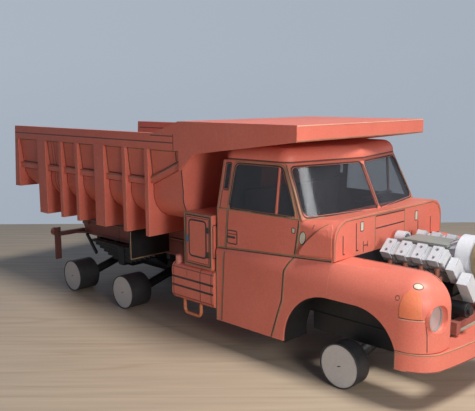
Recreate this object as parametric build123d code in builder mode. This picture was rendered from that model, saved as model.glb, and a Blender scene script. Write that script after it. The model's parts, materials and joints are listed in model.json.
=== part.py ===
from build123d import *
import os

os.makedirs("parts", exist_ok=True)

# Card model of a bonneted three-axle tipper at about 1:25, left without bonnet, grille and tyres.
# Millimetres, +X to the front, +Y to the truck's left, +Z up, origin on the floor under the middle.

# Overall sizes, with the length made up of four stretches
front_overhang = 42.0
wheelbase = 144.5
bogie_base = 50.0
rear_overhang = 53.5
body_width = 98.0
cab_width = 92.0
card = 1.0
gap = 0.3
running_clearance = 0.1

overall_length = front_overhang + wheelbase + bogie_base + rear_overhang
nose_x = overall_length / 2
tail_x = -overall_length / 2
front_axle_x = nose_x - front_overhang
mid_axle_x = front_axle_x - wheelbase
rear_axle_x = mid_axle_x - bogie_base
body_side = body_width / 2
cab_side = cab_width / 2

# Wheel cores
core_radius = 9.2
front_core_width = 8.0
rear_core_width = 13.0
front_face_y = 45.5
rear_face_y = 44.0
pin_radius = 1.5
drum_radius = 6.0
drum_length = 2.0

# Frame rails and backbone
rail_bottom_z = 28.0
rail_height = 9.5
rail_thickness = 3.0
rail_outer_y = 18.5
rail_top_z = rail_bottom_z + rail_height
rail_inner_y = rail_outer_y - rail_thickness
rail_rear_inset = 26.0
rail_front_inset = 7.0
rail_rear_x = tail_x + rail_rear_inset
rail_front_x = nose_x - rail_front_inset
rail_nose_cut = 6.0
cross_member = 3.0
backbone_radius = 4.5
backbone_z = 15.5
half_axle_radius = 2.4
housing_size = 13.0
housing_corner = 2.5

# Bed
bed_to_cab = 21.5
rim_top_z = 97.0
rim_height = 7.8
rim_depth = 1.4
tub_bottom_z = 54.5
tub_flat_half = 33.0
hip_z = 69.5
hip_drop_y = 2.0
tub_wall = 1.2
kick_start = 32.0
kick_rise = 6.5
hip_rise = 3.5
rib_bottom_z = 45.5
flange_bottom_z = 59.5
flange_width = 6.0
tail_slant = 3.0
wide_rib = 8.9
narrow_rib = 2.8
rib_shares = [
    (0.212, wide_rib),
    (0.343, narrow_rib),
    (0.45, narrow_rib),
    (0.589, wide_rib),
    (0.729, narrow_rib),
    (0.846, narrow_rib),
]
moulding_drop = 17.8
moulding_height = 3.2
moulding_rise = 10.0
beam_clearance = 0.5
hinge_inset = 32.0
hinge_pin_radius = 1.2
rim_bottom_z = rim_top_z - rim_height
moulding_z = rim_bottom_z - moulding_drop
tub_side = body_side - rim_depth

# Cab shield
shield_rise = 6.0
shield_length = 70.5
shield_slope = 18.7
fascia_height = 6.6
skirt_rear_drop = 23.0
skirt_corner_drop = 14.6
skirt_corner_run = 10.2
shield_top_z = rim_top_z + shield_rise

# Cab: the lower body swells out below a seam that rises to the front
cab_back_to_axle = 68.5
firewall_to_axle = 6.0
screen_to_axle = 20.5
cab_back_x = front_axle_x - cab_back_to_axle
firewall_x = front_axle_x - firewall_to_axle
screen_foot_x = front_axle_x - screen_to_axle
cab_bottom_z = 12.5
cab_floor_z = rail_top_z + gap
seam_rear_z = 46.0
seam_front_z = 49.5
shoulder_rear = 2.0
upper_rear_inset = 0.8
upper_front_inset = 3.0
belt_z = 64.5
eaves_z = 86.5
roof_crown = 6.4
pillar_lean = 2.3
screen_rake = 10.5
screen_vee = 9.0
cowl_length = 16.0
cowl_top_z = 66.0
cowl_rear_radius = 1.5
cowl_front_radius = 8.0
upper_rear_y = cab_side - upper_rear_inset
upper_front_y = cab_side - upper_front_inset

# Wings
wing_inner_y = 30.0
wing_top_z = 50.0
wing_nose_inset = 4.0
wing_front_x = nose_x - wing_nose_inset
wing_bottom_z = 23.0
wing_radius = 12.0
shoulder_front = seam_front_z - wing_top_z + wing_radius
arch_to_rear = 28.3
arch_to_front = 24.6
arch_rear_x = front_axle_x - arch_to_rear
arch_front_x = front_axle_x + arch_to_front
arch_top_z = 35.8

# The bed ends ahead of the cab's back, and the shield reaches on over the roof
bed_front_x = cab_back_x - bed_to_cab
bed_length = bed_front_x - tail_x
shield_front_x = bed_front_x + shield_length
rib_stations = [(share * bed_length, width) for share, width in rib_shares]


def tub_outline(inset, floor_z, hip_height, top_z):
    """Closed outline of the bed's trough, symmetric about the middle."""
    with BuildLine() as half:
        Line((0, floor_z + inset), (tub_flat_half, floor_z + inset))
        TangentArc(
            (tub_flat_half, floor_z + inset),
            (tub_side - hip_drop_y - inset, hip_height),
            tangent=(1, 0),
        )
        Polyline(
            (tub_side - hip_drop_y - inset, hip_height),
            (tub_side - inset, rim_bottom_z),
            (tub_side - inset, top_z),
            (0, top_z),
        )
        mirror(about=Plane.YZ)
    return half


def tub_solid(inset, top_z, front_x):
    """Solid of the trough's outside (inset 0) or inside, with the floor kicked up at the rear."""
    stations = [
        (front_x, tub_bottom_z, hip_z),
        (tail_x + kick_start, tub_bottom_z, hip_z),
        (tail_x, tub_bottom_z + kick_rise, hip_z + hip_rise),
    ]
    with BuildPart() as body:
        for x, floor_z, hip_height in stations:
            with BuildSketch(Plane.YZ.offset(x)):
                outline = tub_outline(inset, floor_z, hip_height, top_z)
                add(outline.line)
                make_face()
        loft(ruled=True)
    return body.part


with BuildPart() as tail_cut:
    with BuildSketch(Plane.XZ):
        with BuildLine():
            Polyline(
                (tail_x, flange_bottom_z),
                (tail_x + tail_slant, rim_top_z),
                (tail_x, rim_top_z),
                close=True,
            )
        make_face()
    extrude(amount=body_width, both=True)

tub_outside = tub_solid(0, rim_top_z, bed_front_x)
tub_inside = tub_solid(tub_wall, rim_top_z + card, bed_front_x)

with BuildPart() as bed_tub:
    add(tub_outside)
    add(tub_inside, mode=Mode.SUBTRACT)
    add(tail_cut.part, mode=Mode.SUBTRACT)
bed_tub.part.label = "bed_tub"
export_step(bed_tub.part, "parts/bed_tub.step")

# Rims along the top of both sides
with BuildPart() as bed_rims:
    with BuildSketch(Plane.XY.offset(rim_bottom_z)):
        for side in (-1, 1):
            with Locations(((tail_x + bed_front_x) / 2, side * (body_side - rim_depth / 2))):
                Rectangle(bed_length, rim_depth)
    extrude(amount=rim_height)
    add(tail_cut.part, mode=Mode.SUBTRACT)
bed_rims.part.label = "bed_rims"
export_step(bed_rims.part, "parts/bed_rims.step")

# Ribs with vertical outer edges, six a side, and the flange at the open end
with BuildPart() as bed_ribs:
    for offset_x, width in rib_stations:
        rib_depth = body_side - rail_outer_y
        with BuildSketch(Plane.XY.offset(rib_bottom_z)):
            for side in (-1, 1):
                with Locations((tail_x + offset_x, side * (rail_outer_y + rib_depth / 2))):
                    Rectangle(width, rib_depth)
        extrude(amount=rim_bottom_z - rib_bottom_z)
    with BuildSketch(Plane.XY.offset(flange_bottom_z)):
        with Locations((tail_x + flange_width / 2, 0)):
            Rectangle(flange_width, body_width)
    extrude(amount=rim_bottom_z - flange_bottom_z)
    add(tub_outside, mode=Mode.SUBTRACT)
    add(tail_cut.part, mode=Mode.SUBTRACT)
bed_ribs.part.label = "bed_ribs"
export_step(bed_ribs.part, "parts/bed_ribs.step")

# Moulding at mid height, rising to the front corner past the last rib
last_rib_x = tail_x + rib_stations[-1][0]
with BuildPart() as bed_mouldings:
    with BuildSketch(Plane.XZ):
        with BuildLine():
            Polyline(
                (tail_x + flange_width, moulding_z),
                (last_rib_x, moulding_z),
                (bed_front_x, moulding_z + moulding_rise),
                (bed_front_x, moulding_z + moulding_rise + moulding_height),
                (last_rib_x, moulding_z + moulding_height),
                (tail_x + flange_width, moulding_z + moulding_height),
                close=True,
            )
        make_face()
    extrude(amount=tub_side, both=True)
    add(tub_outside, mode=Mode.SUBTRACT)
    add(bed_ribs.part, mode=Mode.SUBTRACT)
bed_mouldings.part.label = "bed_mouldings"
export_step(bed_mouldings.part, "parts/bed_mouldings.step")

# Front wall between the sides, up to the underside of the shield
with BuildPart() as bed_front_wall:
    with BuildSketch(Plane.YZ.offset(bed_front_x - tub_wall)):
        wall_outline = tub_outline(tub_wall, tub_bottom_z, hip_z, shield_top_z - card)
        add(wall_outline.line)
        make_face()
    extrude(amount=tub_wall)
bed_front_wall.part.label = "bed_front_wall"
export_step(bed_front_wall.part, "parts/bed_front_wall.step")

# Shield over the cab: flat top, front fascia and side skirts
with BuildPart() as cab_shield:
    with BuildSketch(Plane.XZ):
        with BuildLine():
            Polyline(
                (bed_front_x - shield_slope, rim_top_z),
                (bed_front_x, shield_top_z),
                (shield_front_x, shield_top_z),
                (shield_front_x, shield_top_z - fascia_height),
                (bed_front_x + skirt_corner_run, shield_top_z - skirt_corner_drop),
                (bed_front_x, shield_top_z - skirt_rear_drop),
                (bed_front_x, rim_top_z),
                close=True,
            )
        make_face()
    extrude(amount=body_side, both=True)
    with BuildSketch(Plane.XZ):
        with BuildLine():
            Polyline(
                (bed_front_x - shield_slope, shield_top_z - card),
                (shield_front_x - card, shield_top_z - card),
                (shield_front_x - card, rib_bottom_z),
                (bed_front_x - shield_slope, rib_bottom_z),
                close=True,
            )
        make_face()
    extrude(amount=body_side - rim_depth, both=True, mode=Mode.SUBTRACT)
    with BuildSketch(Plane.XY.offset(rib_bottom_z)):
        with Locations((bed_front_x - shield_slope / 2, 0)):
            Rectangle(shield_slope, 2 * (body_side - rim_depth))
    extrude(amount=shield_top_z, mode=Mode.SUBTRACT)
cab_shield.part.label = "cab_shield"
export_step(cab_shield.part, "parts/cab_shield.step")

# Long beams under the bed, rounded about the hinge pin at the rear
hinge_x = tail_x + hinge_inset
beam_bottom_z = rail_top_z + beam_clearance
hinge_z = beam_bottom_z + rail_thickness
with BuildPart() as bed_beams:
    with BuildSketch(Plane.XZ, mode=Mode.PRIVATE) as beam_side:
        with BuildLine():
            Polyline(
                (bed_front_x - card, beam_bottom_z),
                (hinge_x, beam_bottom_z),
                (hinge_x, tub_bottom_z),
                (bed_front_x - card, tub_bottom_z),
                close=True,
            )
        make_face()
        with Locations((hinge_x, hinge_z)):
            Circle(hinge_z - beam_bottom_z)
            Circle(hinge_pin_radius + running_clearance, mode=Mode.SUBTRACT)
    for side in (-1, 1):
        beam_plane = Plane.XZ.offset(-side * (rail_outer_y - rail_thickness / 2))
        extrude(beam_plane * beam_side.sketch_local, amount=rail_thickness / 2, both=True)
bed_beams.part.label = "bed_beams"
export_step(bed_beams.part, "parts/bed_beams.step")


# Ladder frame: two rails that step down in front of the cab, joined by cross members
rail_step_drop = 9.0
rail_front_height = 5.0
rail_step_inset = 4.0
rail_step_x = front_axle_x - rail_step_inset
rail_step_run = 8.0
cross_offset = 12.0
cross_stations = [
    rail_rear_x + rail_nose_cut,
    rear_axle_x + cross_offset,
    mid_axle_x + cross_offset,
    (mid_axle_x + cross_offset + cab_back_x) / 2,
    cab_back_x + cross_offset,
]
front_rail_top_z = rail_top_z - rail_step_drop
front_rail_bottom_z = front_rail_top_z - rail_front_height
with BuildPart() as frame:
    with BuildSketch(Plane.XZ, mode=Mode.PRIVATE) as rail_side:
        with BuildLine():
            Polyline(
                (rail_rear_x, rail_top_z),
                (rail_step_x, rail_top_z),
                (rail_step_x + rail_step_run, front_rail_top_z),
                (rail_front_x, front_rail_top_z),
                (rail_front_x, front_rail_bottom_z),
                (rail_step_x + rail_step_run, front_rail_bottom_z),
                (rail_step_x, rail_bottom_z),
                (rail_rear_x + rail_nose_cut, rail_bottom_z),
                close=True,
            )
        make_face()
    for side in (-1, 1):
        rail_plane = Plane.XZ.offset(-side * (rail_outer_y - rail_thickness / 2))
        extrude(rail_plane * rail_side.sketch_local, amount=rail_thickness / 2, both=True)
    for x in cross_stations:
        with BuildSketch(Plane.XY.offset(rail_bottom_z + card)):
            with Locations((x, 0)):
                Rectangle(cross_member, 2 * rail_inner_y)
        extrude(amount=rail_height - 2 * card)
    with BuildSketch(Plane.XY.offset(front_rail_bottom_z + card)):
        with Locations((rail_front_x - cross_member, 0)):
            Rectangle(cross_member, 2 * rail_inner_y)
    extrude(amount=rail_front_height - 2 * card)
    with BuildSketch(Plane.XZ, mode=Mode.PRIVATE) as lug_side:
        with BuildLine():
            Polyline(
                (hinge_x - rail_thickness, rail_top_z - rail_thickness),
                (hinge_x + rail_thickness, rail_top_z - rail_thickness),
                (hinge_x + rail_thickness, hinge_z),
                (hinge_x - rail_thickness, hinge_z),
                close=True,
            )
        make_face()
        with Locations((hinge_x, hinge_z)):
            Circle(rail_thickness)
            Circle(hinge_pin_radius, mode=Mode.SUBTRACT)
    for side in (-1, 1):
        lug_plane = Plane.XZ.offset(-side * (rail_outer_y + gap + card / 2))
        extrude(lug_plane * lug_side.sketch_local, amount=card / 2, both=True)
        with BuildSketch(Plane.XY.offset(rail_top_z - rail_thickness)):
            with Locations((hinge_x, side * (rail_outer_y + gap / 2))):
                Rectangle(2 * rail_thickness, gap)
        extrude(amount=rail_thickness)
frame.part.label = "frame"
export_step(frame.part, "parts/frame.step")

# Pin that the bed tips about
pin_half_length = rail_outer_y + gap + card
with BuildPart() as hinge_pin:
    with BuildSketch(Plane(origin=(hinge_x, 0, hinge_z), z_dir=(0, 1, 0))):
        Circle(hinge_pin_radius)
    extrude(amount=pin_half_length, both=True)
hinge_pin.part.label = "hinge_pin"
export_step(hinge_pin.part, "parts/hinge_pin.step")

# Backbone tube with a final-drive housing at each axle and saddles up to the rails
saddle_offset = 9.0
front_saddle_offset = 14.0
backbone_rear_reach = 14.0
backbone_front_reach = 16.0
saddle_stations = [
    rear_axle_x - saddle_offset,
    rear_axle_x + saddle_offset,
    mid_axle_x - saddle_offset,
    mid_axle_x + saddle_offset,
    front_axle_x - front_saddle_offset,
]
backbone_rear_x = rear_axle_x - backbone_rear_reach
backbone_front_x = front_axle_x + backbone_front_reach
with BuildPart() as backbone:
    with BuildSketch(Plane.YZ.offset(backbone_rear_x)):
        with Locations((0, backbone_z)):
            Circle(backbone_radius)
    extrude(amount=backbone_front_x - backbone_rear_x)
    for x in (rear_axle_x, mid_axle_x, front_axle_x):
        with BuildSketch(Plane.YZ.offset(x - housing_size / 2)):
            with Locations((0, backbone_z)):
                RectangleRounded(housing_size, housing_size, housing_corner)
        extrude(amount=housing_size)
    for x in saddle_stations:
        saddle_top = rail_bottom_z
        with BuildSketch(Plane.YZ.offset(x - cross_member / 2)):
            with BuildLine():
                Polyline(
                    (-rail_outer_y, saddle_top),
                    (rail_outer_y, saddle_top),
                    (rail_outer_y, saddle_top - cross_member),
                    (backbone_radius, backbone_z),
                    (-backbone_radius, backbone_z),
                    (-rail_outer_y, saddle_top - cross_member),
                    close=True,
                )
            make_face()
        extrude(amount=cross_member)
backbone.part.label = "backbone"
export_step(backbone.part, "parts/backbone.step")


def half_axle_rods(x, face_y, width):
    """Half axle, brake drum and wheel pin of both sides, drawn about the wheel's centre."""
    inner_y = face_y - width
    drum_y = inner_y - gap - drum_length
    with BuildPart() as axle:
        for side in (-1, 1):
            start = Vector(x, side * housing_size / 2, backbone_z)
            end = Vector(x, side * drum_y, core_radius)
            slope = Plane(origin=start, z_dir=end - start)
            with BuildSketch(slope):
                Circle(half_axle_radius)
            extrude(amount=(end - start).length)
            with BuildSketch(Plane(origin=(x, side * (inner_y - gap), core_radius), z_dir=(0, -side, 0))):
                Circle(drum_radius)
            extrude(amount=drum_length)
            with BuildSketch(Plane(origin=(x, side * (inner_y - gap), core_radius), z_dir=(0, side, 0))):
                Circle(pin_radius)
            extrude(amount=width - card)
    return axle.part


with BuildPart() as front_axle:
    add(half_axle_rods(front_axle_x, front_face_y, front_core_width))
    add(backbone.part, mode=Mode.SUBTRACT)
front_axle.part.label = "front_axle"
export_step(front_axle.part, "parts/front_axle.step")

with BuildPart() as rear_axles:
    for x in (mid_axle_x, rear_axle_x):
        add(half_axle_rods(x, rear_face_y, rear_core_width))
    add(backbone.part, mode=Mode.SUBTRACT)
rear_axles.part.label = "rear_axles"
export_step(rear_axles.part, "parts/rear_axles.step")

# Wheel cores: a drum of card, closed by a disc at each end, with a bore in the inner disc
wheels = [
    ("wheel_front", front_axle_x, front_face_y, front_core_width),
    ("wheel_middle", mid_axle_x, rear_face_y, rear_core_width),
    ("wheel_rear", rear_axle_x, rear_face_y, rear_core_width),
]
bore_radius = pin_radius + running_clearance
for name, x, face_y, width in wheels:
    for side_name, side in (("right", -1), ("left", 1)):
        outer = side * face_y
        inner = side * (face_y - width)
        skin = side * card
        with BuildPart() as core:
            with BuildSketch(Plane(origin=(x, 0, core_radius))):
                with BuildLine():
                    Polyline(
                        (0, outer),
                        (core_radius, outer),
                        (core_radius, inner),
                        (bore_radius, inner),
                        (bore_radius, inner + skin),
                        (core_radius - card, inner + skin),
                        (core_radius - card, outer - skin),
                        (0, outer - skin),
                        close=True,
                    )
                make_face()
            revolve(axis=Axis((x, 0, core_radius), (0, 1, 0)))
        core.part.label = f"{name}_{side_name}"
        export_step(core.part, f"parts/{name}_{side_name}.step")

# Rear lamp brackets: a cross arm from the rail's end, an upright plate and a round lamp
lamp_plate_y = 37.0
lamp_plate_width = 4.0
lamp_plate_bottom_z = 14.0
lamp_plate_top_z = 34.0
lamp_arm_z = 29.0
lamp_arm_size = 2.5
lamp_radius = 2.4
lamp_depth = 2.0
lamp_z = 31.5
lamp_gusset = 8.0
bracket_x = rail_rear_x + rail_nose_cut / 2
with BuildPart() as lamp_brackets:
    for side in (-1, 1):
        arm_length = lamp_plate_y - rail_outer_y
        with Locations((bracket_x, side * (rail_outer_y + arm_length / 2), lamp_arm_z + lamp_arm_size / 2)):
            Box(lamp_arm_size, arm_length, lamp_arm_size)
        plate_z = (lamp_plate_bottom_z + lamp_plate_top_z) / 2
        plate_height = lamp_plate_top_z - lamp_plate_bottom_z
        with Locations((bracket_x - lamp_arm_size / 2 - card / 2, side * lamp_plate_y, plate_z)):
            Box(card, lamp_plate_width, plate_height)
        with BuildSketch(Plane.XY.offset(lamp_arm_z)):
            with BuildLine():
                Polyline(
                    (bracket_x, side * rail_outer_y),
                    (bracket_x + lamp_gusset, side * rail_outer_y),
                    (bracket_x, side * (rail_outer_y + lamp_gusset)),
                    close=True,
                )
            make_face()
        extrude(amount=card)
lamp_brackets.part.label = "lamp_brackets"
export_step(lamp_brackets.part, "parts/lamp_brackets.step")

with BuildPart() as rear_lamps:
    for side in (-1, 1):
        lamp_y = side * (lamp_plate_y + lamp_plate_width / 4)
        lamp_face = Plane(origin=(bracket_x - lamp_arm_size / 2 - card, lamp_y, lamp_z), z_dir=(-1, 0, 0))
        with BuildSketch(lamp_face):
            Circle(lamp_radius)
        extrude(amount=lamp_depth)
rear_lamps.part.label = "rear_lamps"
export_step(rear_lamps.part, "parts/rear_lamps.step")

# Splash plates across the chassis in front of the middle wheels
splash_gap = 0.3
splash_x = mid_axle_x + core_radius + splash_gap
splash_bottom_z = 29.0
splash_top_z = 44.5
splash_outer_y = 45.0
with BuildPart() as splash_plates:
    for side in (-1, 1):
        splash_width = splash_outer_y - rail_outer_y
        splash_height = splash_top_z - splash_bottom_z
        splash_y = side * (rail_outer_y + splash_width / 2)
        with Locations((splash_x, splash_y, splash_bottom_z + splash_height / 2)):
            Box(card, splash_width, splash_height)
splash_plates.part.label = "splash_plates"
export_step(splash_plates.part, "parts/splash_plates.step")

# Wheel arch seen from the side, grown outwards by the given amount
arch_flat_length = 13.0


def arch_face(grow):
    with BuildSketch(mode=Mode.PRIVATE) as arch:
        crown_z = arch_top_z + grow
        with BuildLine():
            Polyline(
                (arch_front_x + grow, wing_bottom_z),
                (arch_front_x + grow, cab_bottom_z - card),
                (arch_rear_x - grow, cab_bottom_z - card),
                (arch_rear_x - grow, cab_bottom_z),
            )
            TangentArc((firewall_x, crown_z), (arch_rear_x - grow, cab_bottom_z), tangent=(-1, 0))
            Line((firewall_x, crown_z), (firewall_x + arch_flat_length, crown_z))
            TangentArc(
                (firewall_x + arch_flat_length, crown_z),
                (arch_front_x + grow, wing_bottom_z),
                tangent=(1, 0),
            )
        make_face()
    return arch.sketch


def upper_side(x):
    """Half width of the cab above the seam, which narrows to the front."""
    share = (x - cab_back_x) / (firewall_x - cab_back_x)
    return upper_rear_y + (upper_front_y - upper_rear_y) * share


def lower_block(inset, side):
    """Solid of one lower side of the cab, out from the rails, with its shoulder under the seam."""
    side_y = side * (cab_side - inset)
    rail_y = side * rail_outer_y
    stations = [
        (cab_back_x, seam_rear_z, shoulder_rear, side * (upper_rear_y - inset)),
        (firewall_x, seam_front_z, shoulder_front, side * (upper_front_y - inset)),
    ]
    with BuildPart() as block:
        for x, seam_z, shoulder, seam_y in stations:
            with BuildSketch(Plane.YZ.offset(x)):
                with BuildLine():
                    TangentArc((side_y, seam_z - shoulder), (seam_y, seam_z), tangent=(0, 1))
                    Polyline((seam_y, seam_z), (rail_y, seam_z), (rail_y, cab_bottom_z))
                    Polyline((rail_y, cab_bottom_z), (side_y, cab_bottom_z), (side_y, seam_z - shoulder))
                make_face()
        loft(ruled=True)
    return block.part


def upper_block(inset):
    """Solid of the cab from the seam to the belt, with a cowl whose shoulders round off forwards."""
    cowl_start_x = firewall_x - cowl_length
    rear_y = upper_side(cab_back_x) - inset
    start_y = upper_side(cowl_start_x) - inset
    stations = [(cowl_start_x, belt_z, cowl_rear_radius), (firewall_x, cowl_top_z, cowl_front_radius)]
    with BuildPart() as block:
        with BuildSketch(Plane.XY.offset(seam_rear_z)):
            with BuildLine():
                Polyline(
                    (cab_back_x + inset, -rear_y),
                    (cowl_start_x, -start_y),
                    (cowl_start_x, start_y),
                    (cab_back_x + inset, rear_y),
                    close=True,
                )
            make_face()
        extrude(amount=belt_z - seam_rear_z)
        for x, top, radius in stations:
            half = upper_side(x) - inset
            with BuildSketch(Plane.YZ.offset(x)):
                with BuildLine():
                    FilletPolyline(
                        (-half, seam_rear_z),
                        (-half, top - inset),
                        (half, top - inset),
                        (half, seam_rear_z),
                        radius=radius - inset / 2,
                    )
                    Line((half, seam_rear_z), (-half, seam_rear_z))
                make_face()
        loft(ruled=True)
    return block.part


# Upper cab panels and cowl above the sloping seam
upper_outside = upper_block(0)
upper_inside = upper_block(card)
with BuildPart() as upper_shell:
    add(upper_outside)
    add(upper_inside, mode=Mode.SUBTRACT)
    with BuildSketch(Plane.XZ):
        with BuildLine():
            Polyline(
                (cab_back_x, seam_rear_z),
                (firewall_x, seam_front_z),
                (firewall_x, seam_rear_z),
                close=True,
            )
        make_face()
    extrude(amount=body_side, both=True, mode=Mode.SUBTRACT)

# Cab: lower sides cut away over the wheels, back wall between the sills and floor above the rails
sill_return = 14.0
lower_outsides = [lower_block(0, side) for side in (-1, 1)]
lower_insides = [lower_block(card, side) for side in (-1, 1)]
with BuildPart() as cab_shell:
    for lower_outside, lower_inside in zip(lower_outsides, lower_insides):
        add(lower_outside)
        add(lower_inside, mode=Mode.SUBTRACT)
    with BuildSketch(Plane.XZ):
        add(arch_face(0))
    extrude(amount=body_side, both=True, mode=Mode.SUBTRACT)
    add(upper_shell.part)
    with BuildSketch(Plane.YZ.offset(cab_back_x)):
        with BuildLine():
            Polyline(
                (0, cab_bottom_z),
                (cab_side, cab_bottom_z),
                (cab_side, seam_rear_z - shoulder_rear),
                (upper_rear_y, seam_rear_z),
                (upper_rear_y, belt_z),
                (0, belt_z),
            )
            mirror(about=Plane.YZ)
        make_face()
        sill_space = cab_floor_z - cab_bottom_z + 2 * card
        with Locations((0, cab_floor_z - sill_space / 2)):
            Rectangle(2 * (cab_side - sill_return), sill_space, mode=Mode.SUBTRACT)
    extrude(amount=card)
    with BuildSketch(Plane.XY.offset(cab_floor_z)):
        with Locations(((cab_back_x + firewall_x) / 2, 0)):
            Rectangle(firewall_x - cab_back_x, cab_width - card)
    extrude(amount=card)
cab_shell.part.label = "cab_shell"
export_step(cab_shell.part, "parts/cab_shell.step")

# Firewall above the wings, its top corners rounded like the cowl's
with BuildPart() as firewall:
    with BuildSketch(Plane.YZ.offset(firewall_x)):
        with Locations((0, (wing_top_z + cowl_top_z) / 2)):
            plate = Rectangle(2 * upper_front_y, cowl_top_z - wing_top_z)
        fillet(plate.vertices().group_by(Axis.Y)[-1], cowl_front_radius)
    extrude(amount=card)
firewall.part.label = "firewall"
export_step(firewall.part, "parts/firewall.step")


def cab_upper(inset):
    """Solid of the glazed upper cab, leaning in all round, with a windscreen that points forward."""
    stations = [
        (belt_z, 0, cab_back_x, screen_foot_x),
        (eaves_z, pillar_lean, cab_back_x + pillar_lean, screen_foot_x - screen_rake),
    ]
    with BuildPart() as body:
        for z, lean, back_x, foot_x in stations:
            back_y = upper_side(cab_back_x) - lean - inset
            foot_y = upper_side(screen_foot_x) - lean - inset
            with BuildSketch(Plane.XY.offset(z)):
                with BuildLine():
                    Polyline(
                        (back_x + inset, -back_y),
                        (foot_x - inset, -foot_y),
                        (foot_x + screen_vee - inset, 0),
                        (foot_x - inset, foot_y),
                        (back_x + inset, back_y),
                        close=True,
                    )
                make_face()
        loft(ruled=True)
    return body.part


# Window openings: side windows with a vent bar, corner windows, back window and two windscreen panes
sill_z = belt_z + 1.2
window_top_z = eaves_z - 1.5
window_radius = 2.5
window_rear_inset = 7.5
window_front_inset = 4.2
window_rear_lean = 2.5
window_front_lean = 8.5
vent_inset = 14.0
vent_bar = 0.9
corner_window_inset = 3.6
corner_window_width = 2.4
corner_window_sill = 8.0
corner_window_lean = 1.0
back_window_width = 36.0
back_window_height = 13.0
back_window_rise = 2.0
post_half = 1.0
pane_foot_inset = 1.5
pane_top_inset = 3.8
with BuildPart() as window_cutters:
    with BuildSketch(Plane.XZ):
        with BuildLine():
            Polyline(
                (cab_back_x + window_rear_inset, sill_z),
                (screen_foot_x - window_front_inset, sill_z),
                (screen_foot_x - window_front_inset - window_front_lean, window_top_z),
                (cab_back_x + window_rear_inset + window_rear_lean, window_top_z),
                close=True,
            )
        door_window = make_face()
        fillet(door_window.vertices().group_by(Axis.Y)[-1], window_radius)
        with Locations((screen_foot_x - vent_inset, (sill_z + window_top_z) / 2)):
            Rectangle(vent_bar, 2 * (window_top_z - sill_z), mode=Mode.SUBTRACT)
    extrude(amount=body_side, both=True)
    with BuildSketch(Plane.XZ):
        corner_rear_x = cab_back_x + corner_window_inset
        corner_front_x = corner_rear_x + corner_window_width
        with BuildLine():
            Polyline(
                (corner_rear_x, sill_z + corner_window_sill),
                (corner_front_x, sill_z + corner_window_sill),
                (corner_front_x + corner_window_lean, window_top_z),
                (corner_rear_x + corner_window_lean, window_top_z),
                close=True,
            )
        make_face()
    extrude(amount=body_side, both=True)
    with BuildSketch(Plane.YZ.offset(cab_back_x - card)):
        with Locations((0, (sill_z + window_top_z) / 2 + back_window_rise)):
            RectangleRounded(back_window_width, back_window_height, window_radius)
    extrude(amount=pillar_lean + 3 * card)
    with BuildSketch(Plane.YZ.offset(screen_foot_x - screen_rake - 3 * card)):
        for side in (-1, 1):
            foot_y = side * (upper_side(screen_foot_x) - pane_foot_inset)
            top_y = side * (upper_side(screen_foot_x) - pane_top_inset)
            with BuildLine():
                Polyline((side * post_half, sill_z), (foot_y, sill_z), (top_y, window_top_z))
                Polyline((top_y, window_top_z), (side * post_half, window_top_z), (side * post_half, sill_z))
            pane = make_face()
            corners = pane.vertices().sort_by(Axis.X)
            fillet(corners[:2] if side < 0 else corners[-2:], window_radius)
    extrude(amount=screen_rake + screen_vee + 6 * card)

with BuildPart() as cab_pillars:
    add(cab_upper(0))
    add(cab_upper(card), mode=Mode.SUBTRACT)
    add(window_cutters.part, mode=Mode.SUBTRACT)
    add(cab_shell.part, mode=Mode.SUBTRACT)
cab_pillars.part.label = "cab_pillars"
export_step(cab_pillars.part, "parts/cab_pillars.step")

glass_inset = 0.3
glass_thickness = 0.4
with BuildPart() as window_glass:
    add(cab_upper(glass_inset))
    add(cab_upper(glass_inset + glass_thickness), mode=Mode.SUBTRACT)
    add(window_cutters.part, mode=Mode.INTERSECT)
window_glass.part.label = "window_glass"
export_step(window_glass.part, "parts/window_glass.step")

# Roof: shell with rounded edges, pointed forward over the windscreen
roof_overhang = 0.8
roof_corner = 6.5
roof_round = 5.2


def roof_solid(inset):
    rear_x = cab_back_x + pillar_lean - roof_overhang + inset
    front_x = screen_foot_x - screen_rake + roof_overhang - inset
    rear_y = upper_side(cab_back_x) - pillar_lean + roof_overhang - inset
    front_y = upper_side(screen_foot_x) - pillar_lean + roof_overhang - inset
    with BuildPart() as body:
        with BuildSketch(Plane.XY.offset(eaves_z)):
            with BuildLine():
                Polyline(
                    (front_x, -front_y),
                    (rear_x, -rear_y),
                    (rear_x, rear_y),
                    (front_x, front_y),
                    (front_x + screen_vee, 0),
                    close=True,
                )
            plan = make_face()
            fillet(plan.vertices(), roof_corner - inset)
        extrude(amount=roof_crown - inset)
        fillet(body.faces().sort_by(Axis.Z)[-1].edges(), roof_round - inset)
    return body.part


roof_outside = roof_solid(0)
roof_inside = roof_solid(card)
with BuildPart() as cab_roof:
    add(roof_outside)
    add(roof_inside, mode=Mode.SUBTRACT)
cab_roof.part.label = "cab_roof"
export_step(cab_roof.part, "parts/cab_roof.step")

# Cab inside: dashboard, two seats and the steering wheel on the left
dash_depth = 8.0
dash_half = upper_front_y - 1.5 * card
dash_bottom_z = 56.0
seat_width = 26.0
seat_y = 20.0
cushion_z = 46.0
cushion_height = 5.0
cushion_length = 17.0
seat_back_thickness = 4.5
seat_back_height = 22.0
seat_rear_gap = 6.0
seat_base_inset = 2.0
seat_x = cab_back_x + seat_rear_gap
with BuildPart() as dashboard:
    with BuildSketch(Plane.XZ):
        with BuildLine():
            Polyline(
                (screen_foot_x - dash_depth, dash_bottom_z),
                (screen_foot_x, dash_bottom_z),
                (screen_foot_x, belt_z - card),
                (screen_foot_x - dash_depth, belt_z - 2 * card),
                close=True,
            )
        make_face()
    extrude(amount=dash_half, both=True)
dashboard.part.label = "dashboard"
export_step(dashboard.part, "parts/dashboard.step")

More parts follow.
